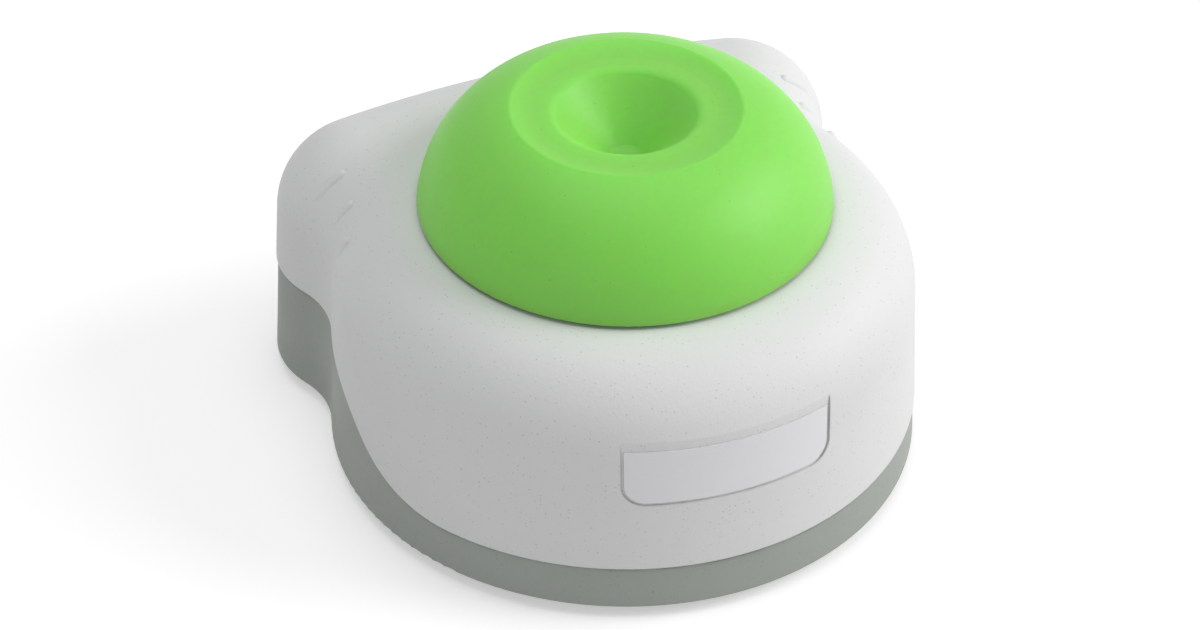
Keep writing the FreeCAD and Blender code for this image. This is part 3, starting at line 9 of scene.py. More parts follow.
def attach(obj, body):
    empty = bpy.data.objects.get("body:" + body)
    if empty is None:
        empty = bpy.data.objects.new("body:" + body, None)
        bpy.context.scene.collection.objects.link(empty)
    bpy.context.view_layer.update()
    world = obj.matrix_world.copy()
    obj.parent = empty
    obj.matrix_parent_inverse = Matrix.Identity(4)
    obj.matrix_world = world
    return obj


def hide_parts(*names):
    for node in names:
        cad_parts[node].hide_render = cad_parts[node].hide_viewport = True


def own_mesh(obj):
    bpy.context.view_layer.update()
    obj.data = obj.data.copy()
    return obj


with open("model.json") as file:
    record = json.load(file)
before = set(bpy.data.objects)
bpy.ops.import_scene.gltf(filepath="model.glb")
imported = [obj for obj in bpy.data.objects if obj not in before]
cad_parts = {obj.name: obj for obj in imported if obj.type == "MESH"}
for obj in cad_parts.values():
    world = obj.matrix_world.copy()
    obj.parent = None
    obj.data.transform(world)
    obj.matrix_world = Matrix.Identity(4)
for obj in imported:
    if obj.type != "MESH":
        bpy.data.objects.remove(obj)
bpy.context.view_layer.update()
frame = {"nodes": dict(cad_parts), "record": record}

parts = frame["nodes"]
print("frame loaded:", len(parts), "CAD nodes")


# Shader groups, each built once and shared

def newGroup(name, takes, gives):
    tree = bpy.data.node_groups.new(name, "ShaderNodeTree")
    for side, sockets in (("INPUT", takes), ("OUTPUT", gives)):
        for label, kind in sockets.items():
            tree.interface.new_socket(name=label, in_out=side, socket_type="NodeSocket" + kind)
    return tree, tree.nodes.new("NodeGroupInput"), tree.nodes.new("NodeGroupOutput")


def addNode(tree, kind, **settings):
    node = tree.nodes.new(kind)
    for key, value in settings.items():
        setattr(node, key, value)
    return node


def join(tree, source, target):
    tree.links.new(source, target)


# Gives a socket a number, a colour or another node's output
def feed(tree, value, socket):
    if isinstance(value, (int, float)):
        socket.default_value = value
    elif isinstance(value, tuple):
        socket.default_value = (*value, 1.0)
    else:
        join(tree, value, socket)


def mathNode(tree, operation, first, second):
    node = addNode(tree, "ShaderNodeMath", operation=operation)
    feed(tree, first, node.inputs[0])
    feed(tree, second, node.inputs[1])
    return node.outputs[0]


def rangeNode(tree, value, low, high, newLow=0.0, newHigh=1.0):
    node = addNode(tree, "ShaderNodeMapRange", interpolation_type="SMOOTHSTEP")
    join(tree, value, node.inputs["Value"])
    for label, number in (("From Min", low), ("From Max", high), ("To Min", newLow), ("To Max", newHigh)):
        feed(tree, number, node.inputs[label])
    return node.outputs[0]


def noiseNode(tree, place, scale, detail=3.0, rough=0.55):
    node = addNode(tree, "ShaderNodeTexNoise")
    join(tree, place, node.inputs["Vector"])
    node.inputs["Detail"].default_value = detail
    node.inputs["Roughness"].default_value = rough
    feed(tree, scale, node.inputs["Scale"])
    return node.outputs[0]


def cellNode(tree, place, scale):
    node = addNode(tree, "ShaderNodeTexVoronoi")
    join(tree, place, node.inputs["Vector"])
    feed(tree, scale, node.inputs["Scale"])
    return node


def blendColour(tree, factor, first, second):
    node = addNode(tree, "ShaderNodeMix", data_type="RGBA")
    for socket, value in ((node.inputs[0], factor), (node.inputs[6], first), (node.inputs[7], second)):
        feed(tree, value, socket)
    return node.outputs[2]


def objectPlace(tree):
    return addNode(tree, "ShaderNodeTexCoord").outputs["Object"]


def stretchNode(tree, place, scale):
    node = addNode(tree, "ShaderNodeMapping")
    node.inputs["Scale"].default_value = scale
    join(tree, place, node.inputs["Vector"])
    return node.outputs[0]


# Values of the patterns themselves: a pair is where a soft step starts and ends
patterns = {
    "grain": {"pebbleScale": 0.62, "swellScale": 0.12, "swellHeight": 0.5},  # shares of the grain's own
    "drift": {"broad": (0.36, 0.66), "small": (0.3, 0.7), "broadShare": 0.6, "smallShare": 0.4},
    "specks": {"smallest": 0.35},
    "wear": {"samples": 4, "edge": (0.7, 0.995), "patches": (0.4, 0.6), "least": 0.35},
    "rounding": {"samples": 6},
    "dust": {"samples": 8, "patchScale": 260.0, "patches": (0.35, 0.65), "least": 0.4},
    "handling": {"stretch": (1.0, 0.6, 1.7), "marks": (0.3, 0.7)},
    "lines": {"straight": (1.0, 0.02, 1.0), "turned": (0.03, 0.03, 1.0), "tint": (0.3, 0.7)},
}


def buildMouldGrain(pattern):
    tree, into, out = newGroup("mould grain", {"Grain Scale": "Float", "Pebble": "Float"},
                               {"Height": "Float"})
    place = objectPlace(tree)
    scale = into.outputs["Grain Scale"]
    fine = noiseNode(tree, place, scale, 2.0, 0.6)
    pebbles = cellNode(tree, place, mathNode(tree, "MULTIPLY", scale, pattern["pebbleScale"]))
    pebbleHeight = mathNode(tree, "MULTIPLY", pebbles.outputs["Distance"], into.outputs["Pebble"])
    swell = noiseNode(tree, place, mathNode(tree, "MULTIPLY", scale, pattern["swellScale"]), 2.0)
    height = mathNode(tree, "ADD", mathNode(tree, "SUBTRACT", fine, pebbleHeight),
                      mathNode(tree, "MULTIPLY", swell, pattern["swellHeight"]))
    join(tree, height, out.inputs["Height"])
    return tree


def buildColourDrift(pattern):
    tree, into, out = newGroup("colour drift", {"Main": "Color", "Other": "Color", "Patch Scale": "Float",
                                                "Fine Scale": "Float", "Amount": "Float"},
                               {"Color": "Color"})
    place = objectPlace(tree)
    broad = rangeNode(tree, noiseNode(tree, place, into.outputs["Patch Scale"], 4.0), *pattern["broad"])
    small = rangeNode(tree, noiseNode(tree, place, into.outputs["Fine Scale"], 2.0), *pattern["small"])
    both = mathNode(tree, "ADD", mathNode(tree, "MULTIPLY", broad, pattern["broadShare"]),
                    mathNode(tree, "MULTIPLY", small, pattern["smallShare"]))
    share = mathNode(tree, "MULTIPLY", both, into.outputs["Amount"])
    join(tree, blendColour(tree, share, into.outputs["Main"], into.outputs["Other"]), out.inputs["Color"])
    return tree


def buildFineSpecks(pattern):
    tree, into, out = newGroup("fine specks", {"Speck Scale": "Float", "Share": "Float", "Size": "Float"},
                               {"Mask": "Float"})
    cells = cellNode(tree, objectPlace(tree), into.outputs["Speck Scale"])
    split = addNode(tree, "ShaderNodeSeparateColor")
    join(tree, cells.outputs["Color"], split.inputs[0])
    chosen = mathNode(tree, "LESS_THAN", split.outputs[0], into.outputs["Share"])
    sized = mathNode(tree, "MULTIPLY", into.outputs["Size"],
                     mathNode(tree, "ADD", split.outputs[1], pattern["smallest"]))
    dot = mathNode(tree, "LESS_THAN", cells.outputs["Distance"], sized)
    join(tree, mathNode(tree, "MULTIPLY", chosen, dot), out.inputs["Mask"])
    return tree


# An edge is where the rounded normal turns away from the real one
def buildEdgeWear(pattern):
    tree, into, out = newGroup("edge wear", {"Width": "Float", "Breakup": "Float"}, {"Mask": "Float"})
    rounded = addNode(tree, "ShaderNodeBevel", samples=pattern["samples"])
    join(tree, into.outputs["Width"], rounded.inputs["Radius"])
    surface = addNode(tree, "ShaderNodeNewGeometry")
    turn = addNode(tree, "ShaderNodeVectorMath", operation="DOT_PRODUCT")
    join(tree, rounded.outputs[0], turn.inputs[0])
    join(tree, surface.outputs["Normal"], turn.inputs[1])
    edge = rangeNode(tree, turn.outputs["Value"], *pattern["edge"], 1.0, 0.0)
    patches = noiseNode(tree, objectPlace(tree), into.outputs["Breakup"], 4.0)
    broken = rangeNode(tree, patches, *pattern["patches"], pattern["least"], 1.0)
    join(tree, mathNode(tree, "MULTIPLY", edge, broken), out.inputs["Mask"])
    return tree


def buildRoundedEdge(pattern):
    tree, into, out = newGroup("rounded edge", {"Radius": "Float"}, {"Normal": "Vector"})
    rounded = addNode(tree, "ShaderNodeBevel", samples=pattern["samples"])
    join(tree, into.outputs["Radius"], rounded.inputs["Radius"])
    join(tree, rounded.outputs[0], out.inputs["Normal"])
    return tree


# Darker colour in nooks, the more closed the darker: crevice dust, and painted shade where it is strong, as
# on the pan
def buildCreviceDust(pattern):
    tree, into, out = newGroup("crevice dust", {"Reach": "Float", "Strength": "Float", "Closed": "Float",
                                                "Open": "Float"}, {"Mask": "Float"})
    nook = addNode(tree, "ShaderNodeAmbientOcclusion", samples=pattern["samples"])
    join(tree, into.outputs["Reach"], nook.inputs["Distance"])
    closed = rangeNode(tree, nook.outputs["AO"], into.outputs["Closed"], into.outputs["Open"], 1.0, 0.0)
    patches = noiseNode(tree, objectPlace(tree), pattern["patchScale"], 4.0)
    patchy = rangeNode(tree, patches, *pattern["patches"], pattern["least"], 1.0)
    mask = mathNode(tree, "MULTIPLY", mathNode(tree, "MULTIPLY", closed, patchy), into.outputs["Strength"])
    join(tree, mask, out.inputs["Mask"])
    return tree


def buildHandling(pattern):
    tree, into, out = newGroup("handling marks", {"Roughness": "Float", "Spread": "Float",
                                                  "Mark Scale": "Float"}, {"Roughness": "Float"})
    smear = stretchNode(tree, objectPlace(tree), pattern["stretch"])
    smudges = noiseNode(tree, smear, into.outputs["Mark Scale"], 5.0)
    marks = rangeNode(tree, smudges, *pattern["marks"], -1.0, 1.0)
    rough = mathNode(tree, "ADD", into.outputs["Roughness"],
                     mathNode(tree, "MULTIPLY", marks, into.outputs["Spread"]))
    join(tree, rough, out.inputs["Roughness"])
    return tree


def buildToolLines(pattern):
    tree, into, out = newGroup("tool lines", {"Line Scale": "Float", "Turned": "Float"},
                               {"Height": "Float", "Tint": "Float"})
    place = objectPlace(tree)
    lines = addNode(tree, "ShaderNodeMix", data_type="FLOAT")
    join(tree, into.outputs["Turned"], lines.inputs[0])
    for number, way in ((2, "straight"), (3, "turned")):
        drawn = noiseNode(tree, stretchNode(tree, place, pattern[way]), into.outputs["Line Scale"], 2.0)
        join(tree, drawn, lines.inputs[number])
    join(tree, lines.outputs[0], out.inputs["Height"])
    join(tree, rangeNode(tree, lines.outputs[0], *pattern["tint"]), out.inputs["Tint"])
    return tree


builders = {
    "grain": buildMouldGrain,
    "drift": buildColourDrift,
    "specks": buildFineSpecks,
    "wear": buildEdgeWear,
    "rounding": buildRoundedEdge,
    "dust": buildCreviceDust,
    "handling": buildHandling,
    "lines": buildToolLines,
}
effects = {name: build(patterns[name]) for name, build in builders.items()}
print("shader groups built:", len(effects))


# Materials

def useEffect(tree, name, **values):
    node = addNode(tree, "ShaderNodeGroup", node_tree=effects[name])
    for label, value in values.items():
        feed(tree, value, node.inputs[label.replace("_", " ")])
    return node


def startMaterial(name):
    material = bpy.data.materials.new(name)
    material.use_nodes = True
    return material, material.node_tree, material.node_tree.nodes["Principled BSDF"]


def addBump(tree, shader, height, strength, distance, edgeRadius):
    bump = addNode(tree, "ShaderNodeBump")
    bump.inputs["Strength"].default_value = strength
    bump.inputs["Distance"].default_value = distance
    join(tree, height, bump.inputs["Height"])
    rounding = useEffect(tree, "rounding", Radius=edgeRadius)
    join(tree, rounding.outputs["Normal"], bump.inputs["Normal"])
    join(tree, bump.outputs[0], shader.inputs["Normal"])


def driftingColour(tree, look):
    drift = useEffect(tree, "drift", Main=look["colour"], Other=look["otherColour"],
                      Patch_Scale=look["patchScale"], Fine_Scale=look["fineScale"],
                      Amount=look["driftAmount"])
    return drift.outputs["Color"]


def wornColour(tree, colour, look):
    wear = useEffect(tree, "wear", Width=look["edgeWidth"], Breakup=look["edgeBreakup"])
    share = mathNode(tree, "MULTIPLY", wear.outputs[0], look["edgeStrength"])
    return blendColour(tree, share, colour, look["edgeColour"])


def handledGloss(tree, shader, look):
    handling = useEffect(tree, "handling", Roughness=look["roughness"], Spread=look["roughSpread"],
                         Mark_Scale=look["markScale"])
    join(tree, handling.outputs[0], shader.inputs["Roughness"])


def mouldedPlastic(name, look):
    material, tree, shader = startMaterial(name)
    specks = useEffect(tree, "specks", Speck_Scale=look["speckScale"], Share=look["speckShare"],
                       Size=look["speckSize"])
    dust = useEffect(tree, "dust", Reach=look["dustReach"], Strength=look["dustStrength"],
                     Closed=look["dustClosed"], Open=look["dustOpen"])
    speckled = blendColour(tree, mathNode(tree, "MULTIPLY", specks.outputs[0], look["speckStrength"]),
                           driftingColour(tree, look), look["speckColour"])
    worn = wornColour(tree, speckled, look)
    # nooks darkened: dust, and painted shade on the pan
    join(tree, blendColour(tree, dust.outputs[0], worn, look["dustColour"]), shader.inputs["Base Color"])
    handledGloss(tree, shader, look)
    grain = useEffect(tree, "grain", Grain_Scale=look["grainScale"], Pebble=look["pebble"])
    addBump(tree, shader, grain.outputs["Height"], look["grainStrength"], look["grainDepth"],
            look["edgeRound"])
    shader.inputs["Specular IOR Level"].default_value = look["specular"]
    if "glow" in look:  # light that spreads inside silicone and nylon
        shader.inputs["Subsurface Weight"].default_value = look["glow"]
        shader.inputs["Subsurface Radius"].default_value = look["glowRadius"]
        shader.inputs["Subsurface Scale"].default_value = look["glowScale"]
    return material


def workedMetal(name, look):
    material, tree, shader = startMaterial(name)
    lines = useEffect(tree, "lines", Line_Scale=look["lineScale"], Turned=look["turned"])
    lined = blendColour(tree, mathNode(tree, "MULTIPLY", lines.outputs["Tint"], look["lineTint"]),
                        driftingColour(tree, look), look["lineColour"])
    join(tree, wornColour(tree, lined, look), shader.inputs["Base Color"])
    handledGloss(tree, shader, look)
    shader.inputs["Metallic"].default_value = look["metallic"]
    addBump(tree, shader, lines.outputs["Height"], look["lineStrength"], look["lineDepth"], look["edgeRound"])
    return material


# Scales are in cells per metre, depths and widths in metres, the rest in shares of one
plasticBase = {
    "patchScale": 28.0, "fineScale": 900.0, "driftAmount": 0.35,  # drift between the two colours
    "speckScale": 520.0, "speckShare": 0.1, "speckSize": 0.16,  # share is how many cells hold a speck
    "speckStrength": 0.35, "speckColour": (0.36, 0.37, 0.34),
    "edgeWidth": 0.0003, "edgeStrength": 0.35, "edgeBreakup": 600.0,  # paler edges
    "dustReach": 0.0016, "dustStrength": 0.25, "dustColour": (0.32, 0.31, 0.28),
    "dustClosed": 0.35, "dustOpen": 0.85,  # openness of a nook with full dust and painted shade, and with none
    "roughness": 0.52, "roughSpread": 0.06, "markScale": 40.0,
    "grainScale": 2400.0, "pebble": 0.55, "grainStrength": 0.35, "grainDepth": 0.00008,
    "specular": 0.42, "edgeRound": 0.0003,
}


def plasticLook(**changes):
    return {**plasticBase, **changes}


shellLook = plasticLook(
    colour=(0.76, 0.765, 0.766), otherColour=(0.71, 0.718, 0.712), edgeColour=(0.84, 0.85, 0.85),
    speckScale=1500.0, speckShare=0.5, speckSize=0.17, speckStrength=0.5, speckColour=(0.44, 0.45, 0.40),
    roughness=0.56,
)
panLook = plasticLook(
    colour=(0.37, 0.395, 0.365), otherColour=(0.325, 0.35, 0.32), edgeColour=(0.50, 0.52, 0.49),
    speckScale=1500.0, speckShare=0.5, speckSize=0.17, speckStrength=0.5, speckColour=(0.20, 0.21, 0.19),
    dustColour=(0.05, 0.053, 0.048), dustReach=0.0010, dustStrength=1.0,  # a painted shadow line under the cover's edge
    dustClosed=0.77, dustOpen=0.97, roughness=0.58,
)
panelLook = plasticLook(
    colour=(0.82, 0.82, 0.845), otherColour=(0.77, 0.77, 0.80), edgeColour=(0.60, 0.60, 0.63),
    grainScale=5200.0, grainStrength=0.12, grainDepth=0.00003, roughness=0.36, specular=0.5,
    speckScale=2200.0, speckShare=0.2, speckSize=0.16, speckStrength=0.35, speckColour=(0.60, 0.60, 0.64),
    edgeRound=0.0001,
)
headLook = plasticLook(
    colour=(0.25, 0.78, 0.095), otherColour=(0.22, 0.73, 0.08), edgeColour=(0.30, 0.80, 0.13),
    speckScale=950.0, speckShare=0.14, speckSize=0.085, speckStrength=0.5, speckColour=(0.09, 0.34, 0.06),
    grainScale=3200.0, grainStrength=0.22, grainDepth=0.00005, roughness=0.50, roughSpread=0.06,
    dustStrength=0.1, dustColour=(0.12, 0.42, 0.06), specular=0.4,
    glow=0.7, glowRadius=(0.12, 1.0, 0.10), glowScale=0.010,
)
rubberLook = plasticLook(
    colour=(0.028, 0.028, 0.028), otherColour=(0.042, 0.042, 0.041), edgeColour=(0.075, 0.075, 0.073),
    speckColour=(0.09, 0.09, 0.085), roughness=0.78, grainScale=1800.0, grainStrength=0.4, specular=0.3,
    dustColour=(0.16, 0.15, 0.14), dustStrength=0.4,
)
darkPlasticLook = plasticLook(
    colour=(0.030, 0.030, 0.032), otherColour=(0.040, 0.040, 0.042), edgeColour=(0.09, 0.09, 0.095),
    speckColour=(0.07, 0.07, 0.07), roughness=0.46, grainScale=3000.0, dustColour=(0.11, 0.10, 0.09),
)
inletLook = plasticLook(
    colour=(0.018, 0.018, 0.019), otherColour=(0.026, 0.026, 0.027), edgeColour=(0.06, 0.06, 0.063),
    speckColour=(0.05, 0.05, 0.05), roughness=0.38, grainScale=3600.0, grainStrength=0.2,
    dustColour=(0.09, 0.085, 0.08),
)
nylonLook = plasticLook(
    colour=(0.72, 0.70, 0.60), otherColour=(0.65, 0.62, 0.51), edgeColour=(0.80, 0.78, 0.70),
    speckColour=(0.5, 0.48, 0.4), roughness=0.4, grainStrength=0.15,
    glow=0.2, glowRadius=(1.0, 0.9, 0.7), glowScale=0.002,
)
redPlasticLook = plasticLook(
    colour=(0.42, 0.035, 0.028), otherColour=(0.34, 0.028, 0.024), edgeColour=(0.55, 0.09, 0.07),
    speckColour=(0.2, 0.02, 0.02), roughness=0.36, grainStrength=0.12,
)
ferriteLook = plasticLook(
    colour=(0.035, 0.035, 0.037), otherColour=(0.055, 0.054, 0.054), edgeColour=(0.12, 0.12, 0.12),
    speckColour=(0.10, 0.10, 0.10), speckShare=0.3, roughness=0.62, grainScale=1400.0, grainStrength=0.5,
    dustColour=(0.10, 0.09, 0.08),
)
sleeveLook = plasticLook(
    colour=(0.016, 0.020, 0.060), otherColour=(0.022, 0.027, 0.075), edgeColour=(0.06, 0.07, 0.14),
    speckColour=(0.05, 0.05, 0.08), roughness=0.25, grainStrength=0.06, specular=0.55,
)
laminateLook = plasticLook(
    colour=(0.018, 0.115, 0.045), otherColour=(0.010, 0.075, 0.030), edgeColour=(0.28, 0.30, 0.18),
    patchScale=240.0, driftAmount=0.8, speckScale=700.0, speckShare=0.12, speckSize=0.3,
    speckColour=(0.50, 0.48, 0.42), speckStrength=0.8, roughness=0.28, grainScale=900.0, grainStrength=0.15,
)

metalBase = {
    "patchScale": 60.0, "fineScale": 1400.0, "driftAmount": 0.5,
    "lineScale": 5200.0, "turned": 1.0, "lineTint": 0.35,  # turned: 1 rings, 0 straight lines
    "lineStrength": 0.35, "lineDepth": 0.00002,
    "edgeWidth": 0.00025, "edgeStrength": 0.7, "edgeBreakup": 900.0, "edgeRound": 0.00012,
    "roughness": 0.34, "roughSpread": 0.08, "markScale": 90.0, "metallic": 1.0,
}
metalShades = {"otherColour": 0.78, "lineColour": 0.66, "edgeColour": 1.3}  # shares of the metal's own tone
brightestMetal = 0.95


def metalLook(tone, **changes):
    shades = {use: tuple(min(channel * share, brightestMetal) for channel in tone)
              for use, share in metalShades.items()}
    return {**metalBase, "colour": tone, **shades, **changes}


zincLook = metalLook((0.55, 0.55, 0.52), roughness=0.38)
ballastLook = metalLook((0.13, 0.135, 0.14), roughness=0.5, turned=0.0, metallic=0.85)
turnedLook = metalLook((0.58, 0.58, 0.58), roughness=0.24)
springLook = metalLook((0.46, 0.46, 0.45), roughness=0.3)
sheetLook = metalLook((0.53, 0.53, 0.52), roughness=0.36, turned=0.0, lineScale=3800.0)
drawnLook = metalLook((0.60, 0.59, 0.56), roughness=0.27)
groundLook = metalLook((0.66, 0.66, 0.67), roughness=0.12, lineStrength=0.1, lineScale=9000.0)
machinedLook = metalLook((0.44, 0.44, 0.445), roughness=0.3)
bronzeLook = metalLook((0.46, 0.27, 0.12), roughness=0.45)
copperLook = metalLook((0.52, 0.20, 0.085), roughness=0.32, lineScale=4200.0, lineStrength=0.8)
ironLook = metalLook((0.24, 0.24, 0.245), roughness=0.5, lineScale=2600.0, lineStrength=0.9)
pinLook = metalLook((0.62, 0.57, 0.42), roughness=0.2)

# Material slots of the record, each with its material's name and look
plastics = {
    "shell_plastic": ("white grained shell", shellLook),
    "pan_plastic": ("grey grained pan", panLook),
    "panel_film": ("silver panel film", panelLook),
    "head_silicone": ("green silicone", headLook),
    "foot_rubber": ("dark foot rubber", rubberLook),
    "grommet_rubber": ("grommet rubber", rubberLook),
    "core_plastic": ("dark core plastic", darkPlasticLook),
    "cap_plastic": ("motor cap plastic", darkPlasticLook),
    "switch_plastic": ("switch plastic", darkPlasticLook),
    "regulator_plastic": ("regulator plastic", darkPlasticLook),
    "inlet_plastic": ("black inlet plastic", inletLook),
    "bush_nylon": ("natural nylon", nylonLook),
    "socket_plastic": ("lead socket nylon", nylonLook),
    "plunger_plastic": ("red plunger plastic", redPlasticLook),
    "magnet_ferrite": ("ferrite", ferriteLook),
    "capacitor_sleeve": ("capacitor sleeve", sleeveLook),
    "board_laminate": ("board laminate", laminateLook),
}
metals = {
    "screw_steel": ("zinc plated screw steel", zincLook),
    "ballast_steel": ("phosphated ballast steel", ballastLook),
    "post_steel": ("turned steel", turnedLook),
    "spring_steel": ("spring wire", springLook),
    "plate_steel": ("rolled sheet steel", sheetLook),
    "can_steel": ("drawn can steel", drawnLook),
    "bearing_steel": ("ground bearing steel", groundLook),
    "crank_steel": ("machined crank steel", machinedLook),
    "bronze": ("sintered bronze", bronzeLook),
    "copper": ("enamelled copper", copperLook),
    "core_iron": ("stacked iron sheet", ironLook),
    "pin_brass": ("plated pin", pinLook),
}
finishes = {slot: mouldedPlastic(name, look) for slot, (name, look) in plastics.items()}
finishes.update({slot: workedMetal(name, look) for slot, (name, look) in metals.items()})

for part in frame["record"]["subparts"]:
    slots = parts[part["node"]].data.materials
    slots.clear()
    slots.append(finishes[part["material_slot"]])
print("materials placed:", len(finishes))


# Added pieces: smooth shading that stays sharp where two faces meet at an edge

def shadeSmooth(mesh, sharpAngle):
    for face in mesh.polygons:
        face.use_smooth = True
    build = bmesh.new()
    build.from_mesh(mesh)
    limit = math.radians(sharpAngle)
    for edge in build.edges:
        if len(edge.link_faces) == 2:
            edge.smooth = edge.calc_face_angle(0.0) < limit
    build.to_mesh(mesh)
    build.free()


def addPiece(name, mesh, body, slot, node, sharpAngle):
    mesh.materials.clear()
    mesh.materials.append(finishes[slot])
    shadeSmooth(mesh, sharpAngle)
    piece = bpy.data.objects.new(name, mesh)
    bpy.context.scene.collection.objects.link(piece)
    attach(piece, body)
    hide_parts(node)
    return piece


# A solid whose outline, ring by ring, may change with the angle
def latheMesh(name, rings, segments):
    build = bmesh.new()
    rows = []
    for ring in rings:
        row = []
        for step in range(segments):
            angle = 2 * math.pi * step / segments
            radius, height = ring(angle)
            row.append(build.verts.new((radius * math.cos(angle), radius * math.sin(angle), height)))
        rows.append(row)
    for lower, upper in zip(rows, rows[1:]):
        for step in range(segments):
            after = (step + 1) % segments
            build.faces.new((lower[step], lower[after], upper[after], upper[step]))
    build.faces.new(list(reversed(rows[0])))
    build.faces.new(rows[-1])
    bmesh.ops.recalc_face_normals(build, faces=build.faces)
    mesh = bpy.data.meshes.new(name)
    build.to_mesh(mesh)
    build.free()
    return mesh


# Screws: the CAD's plain ones become cross-headed and threaded

# Depth of the cross recess at a place on the head
def crossDepth(radius, angle, look):
    wing = look["wingWidth"] / 2
    reach = look["recessRadius"]
    x = abs(radius * math.cos(angle))
    y = abs(radius * math.sin(angle))
    narrow = min(x, y)
    if narrow > wing or radius > reach:
        return 0.0
    side = min(1.0, (wing - narrow) / (wing * look["wingSlope"]))
    end = min(1.0, (reach - radius) / (reach * look["endSlope"]))
    return look["recessDepth"] * min(side, end) * (1.0 - look["recessRise"] * radius / reach)


def threadRadius(height, angle, fade, look):
    wave = abs(((height / look["pitch"] - angle / (2 * math.pi)) % 1.0) - 0.5) * 2
    root = look["shankRadius"] * look["threadRoot"]
    crest = look["shankRadius"] * look["threadCrest"]
    least = look["lastThread"]
    return root + (crest - root) * wave * (least + (1 - least) * fade)


def screwMesh(name, length, look):
    rings = []
    head = look["headRadius"]
    shank = look["shankRadius"]
    first = look["firstRing"]
    for step in range(look["headSteps"] + 1):
        radius = head * (first + (1 - first) * step / look["headSteps"])
        rings.append(lambda angle, r=radius: (r, crossDepth(r, angle, look)))
    if look["flat"]:
        start = head - shank
        rings.append(lambda angle: (shank, start))
    else:
        start = look["headHeight"]
        rings.append(lambda angle: (head, start * look["rimHeight"]))
        rings.append(lambda angle: (head * look["rimReach"], start))
        rings.append(lambda angle: (shank * look["neck"], start))
    rows = int((length - start) / look["pitch"] * look["rowsPerTurn"])
    for row in range(1, rows):
        height = start + (length - start) * row / rows
        fade = min(1.0, (length - height) / (look["pitch"] * look["runOut"]))
        rings.append(lambda angle, z=height, f=fade: (threadRadius(z, angle, f, look), z))
    rings.append(lambda angle: (shank * look["tip"], length))
    return latheMesh(name, rings, look["segments"])


weldReach = 1e-7


# Lowest and highest corner of each separate solid of a node
def islands(nodeName):
    build = bmesh.new()
    build.from_mesh(parts[nodeName].data)
    bmesh.ops.remove_doubles(build, verts=build.verts, dist=weldReach)
    build.verts.ensure_lookup_table()
    seen = set()
    boxes = []
    for start in build.verts:
        if start.index in seen:
            continue
        stack = [start]
        seen.add(start.index)
        low = Vector(start.co)
        high = Vector(start.co)
        while stack:
            vertex = stack.pop()
            for axis in range(3):
                low[axis] = min(low[axis], vertex.co[axis])
                high[axis] = max(high[axis], vertex.co[axis])
            for edge in vertex.link_edges:
                other = edge.other_vert(vertex)
                if other.index not in seen:
                    seen.add(other.index)
                    stack.append(other)
        boxes.append((low, high))
    build.free()
    return boxes


# Lengths in metres; points: 1 for a screw driven upwards, -1 for one driven down
screwBase = {
    "body": "case", "points": 1, "flat": False,
    "headRadius": 0.0028, "headHeight": 0.002, "shankRadius": 0.0015,
    "recessRadius": 0.0016, "recessDepth": 0.0012, "wingWidth": 0.00062,
    "wingSlope": 0.25, "endSlope": 0.2, "recessRise": 0.55,  # shares of the wing's width, reach and depth
    "firstRing": 0.02, "rimHeight": 0.96, "rimReach": 0.97,  # shares of the head's radius and height
    "neck": 0.9, "threadRoot": 0.82, "threadCrest": 0.99, "tip": 0.55,  # shares of the shank's radius
    "pitch": 0.0007, "runOut": 2, "lastThread": 0.4,  # turns that run out, and to which share
    "firstTurn": 0.35, "nextTurn": 1.1,  # radians that each driven head is turned by
    "headSteps": 22, "rowsPerTurn": 6, "segments": 64, "sharpAngle": 28.0,
}
screwLooks = {
    "case_screws": {},
    "ballast_screws": {"headRadius": 0.003, "flat": True, "recessRadius": 0.0017},
    "motor_screws": {"body": "carriage", "points": -1, "headRadius": 0.0025, "headHeight": 0.0016,
                     "pitch": 0.0005, "recessRadius": 0.0014, "wingWidth": 0.0005, "recessDepth": 0.0009},
    "board_screws": {"points": -1, "headRadius": 0.0022, "headHeight": 0.0012, "shankRadius": 0.0012,
                     "pitch": 0.0006, "recessRadius": 0.0012, "wingWidth": 0.00045, "recessDepth": 0.0007},
}


def makeScrews(nodeName, look):
    boxes = islands(nodeName)
    low, high = boxes[-1]  # the screws of a node are alike
    base = screwMesh(nodeName + "_one", high.z - low.z, look)
    way = Vector((0, 0, look["points"])).to_track_quat("Z", "Y").to_matrix().to_4x4()
    build = bmesh.new()
    for number, (low, high) in enumerate(boxes):
        spot = (low + high) / 2
        spot.z = low.z if look["points"] > 0 else high.z
        spin = look["firstTurn"] + look["nextTurn"] * number
        screw = base.copy()
        screw.transform(Matrix.Translation(spot) @ way @ Matrix.Rotation(spin, 4, "Z"))
        build.from_mesh(screw)
        bpy.data.meshes.remove(screw)
    mesh = bpy.data.meshes.new(nodeName + "_detail")
    build.to_mesh(mesh)
    build.free()
    addPiece(nodeName + "_detail", mesh, look["body"], "screw_steel", nodeName, look["sharpAngle"])


for nodeName, changes in screwLooks.items():
    makeScrews(nodeName, {**screwBase, **changes})
print("screws detailed")


# Rubber feet: flat pads with a moulded ring groove and a soft edge

# Lengths in metres
footLook = {
    "grooveRadius": 0.0036, "grooveWidth": 0.0009, "grooveDepth": 0.0005, "grooveSlope": 0.0002,
    "middleRadius": 0.0016, "middleSink": 0.0003,  # the gate mark in the middle of the pad
    "edgeRound": 0.0006, "topRound": 0.0002, "edgeSteps": 6, "segments": 72, "sharpAngle": 30.0,
}


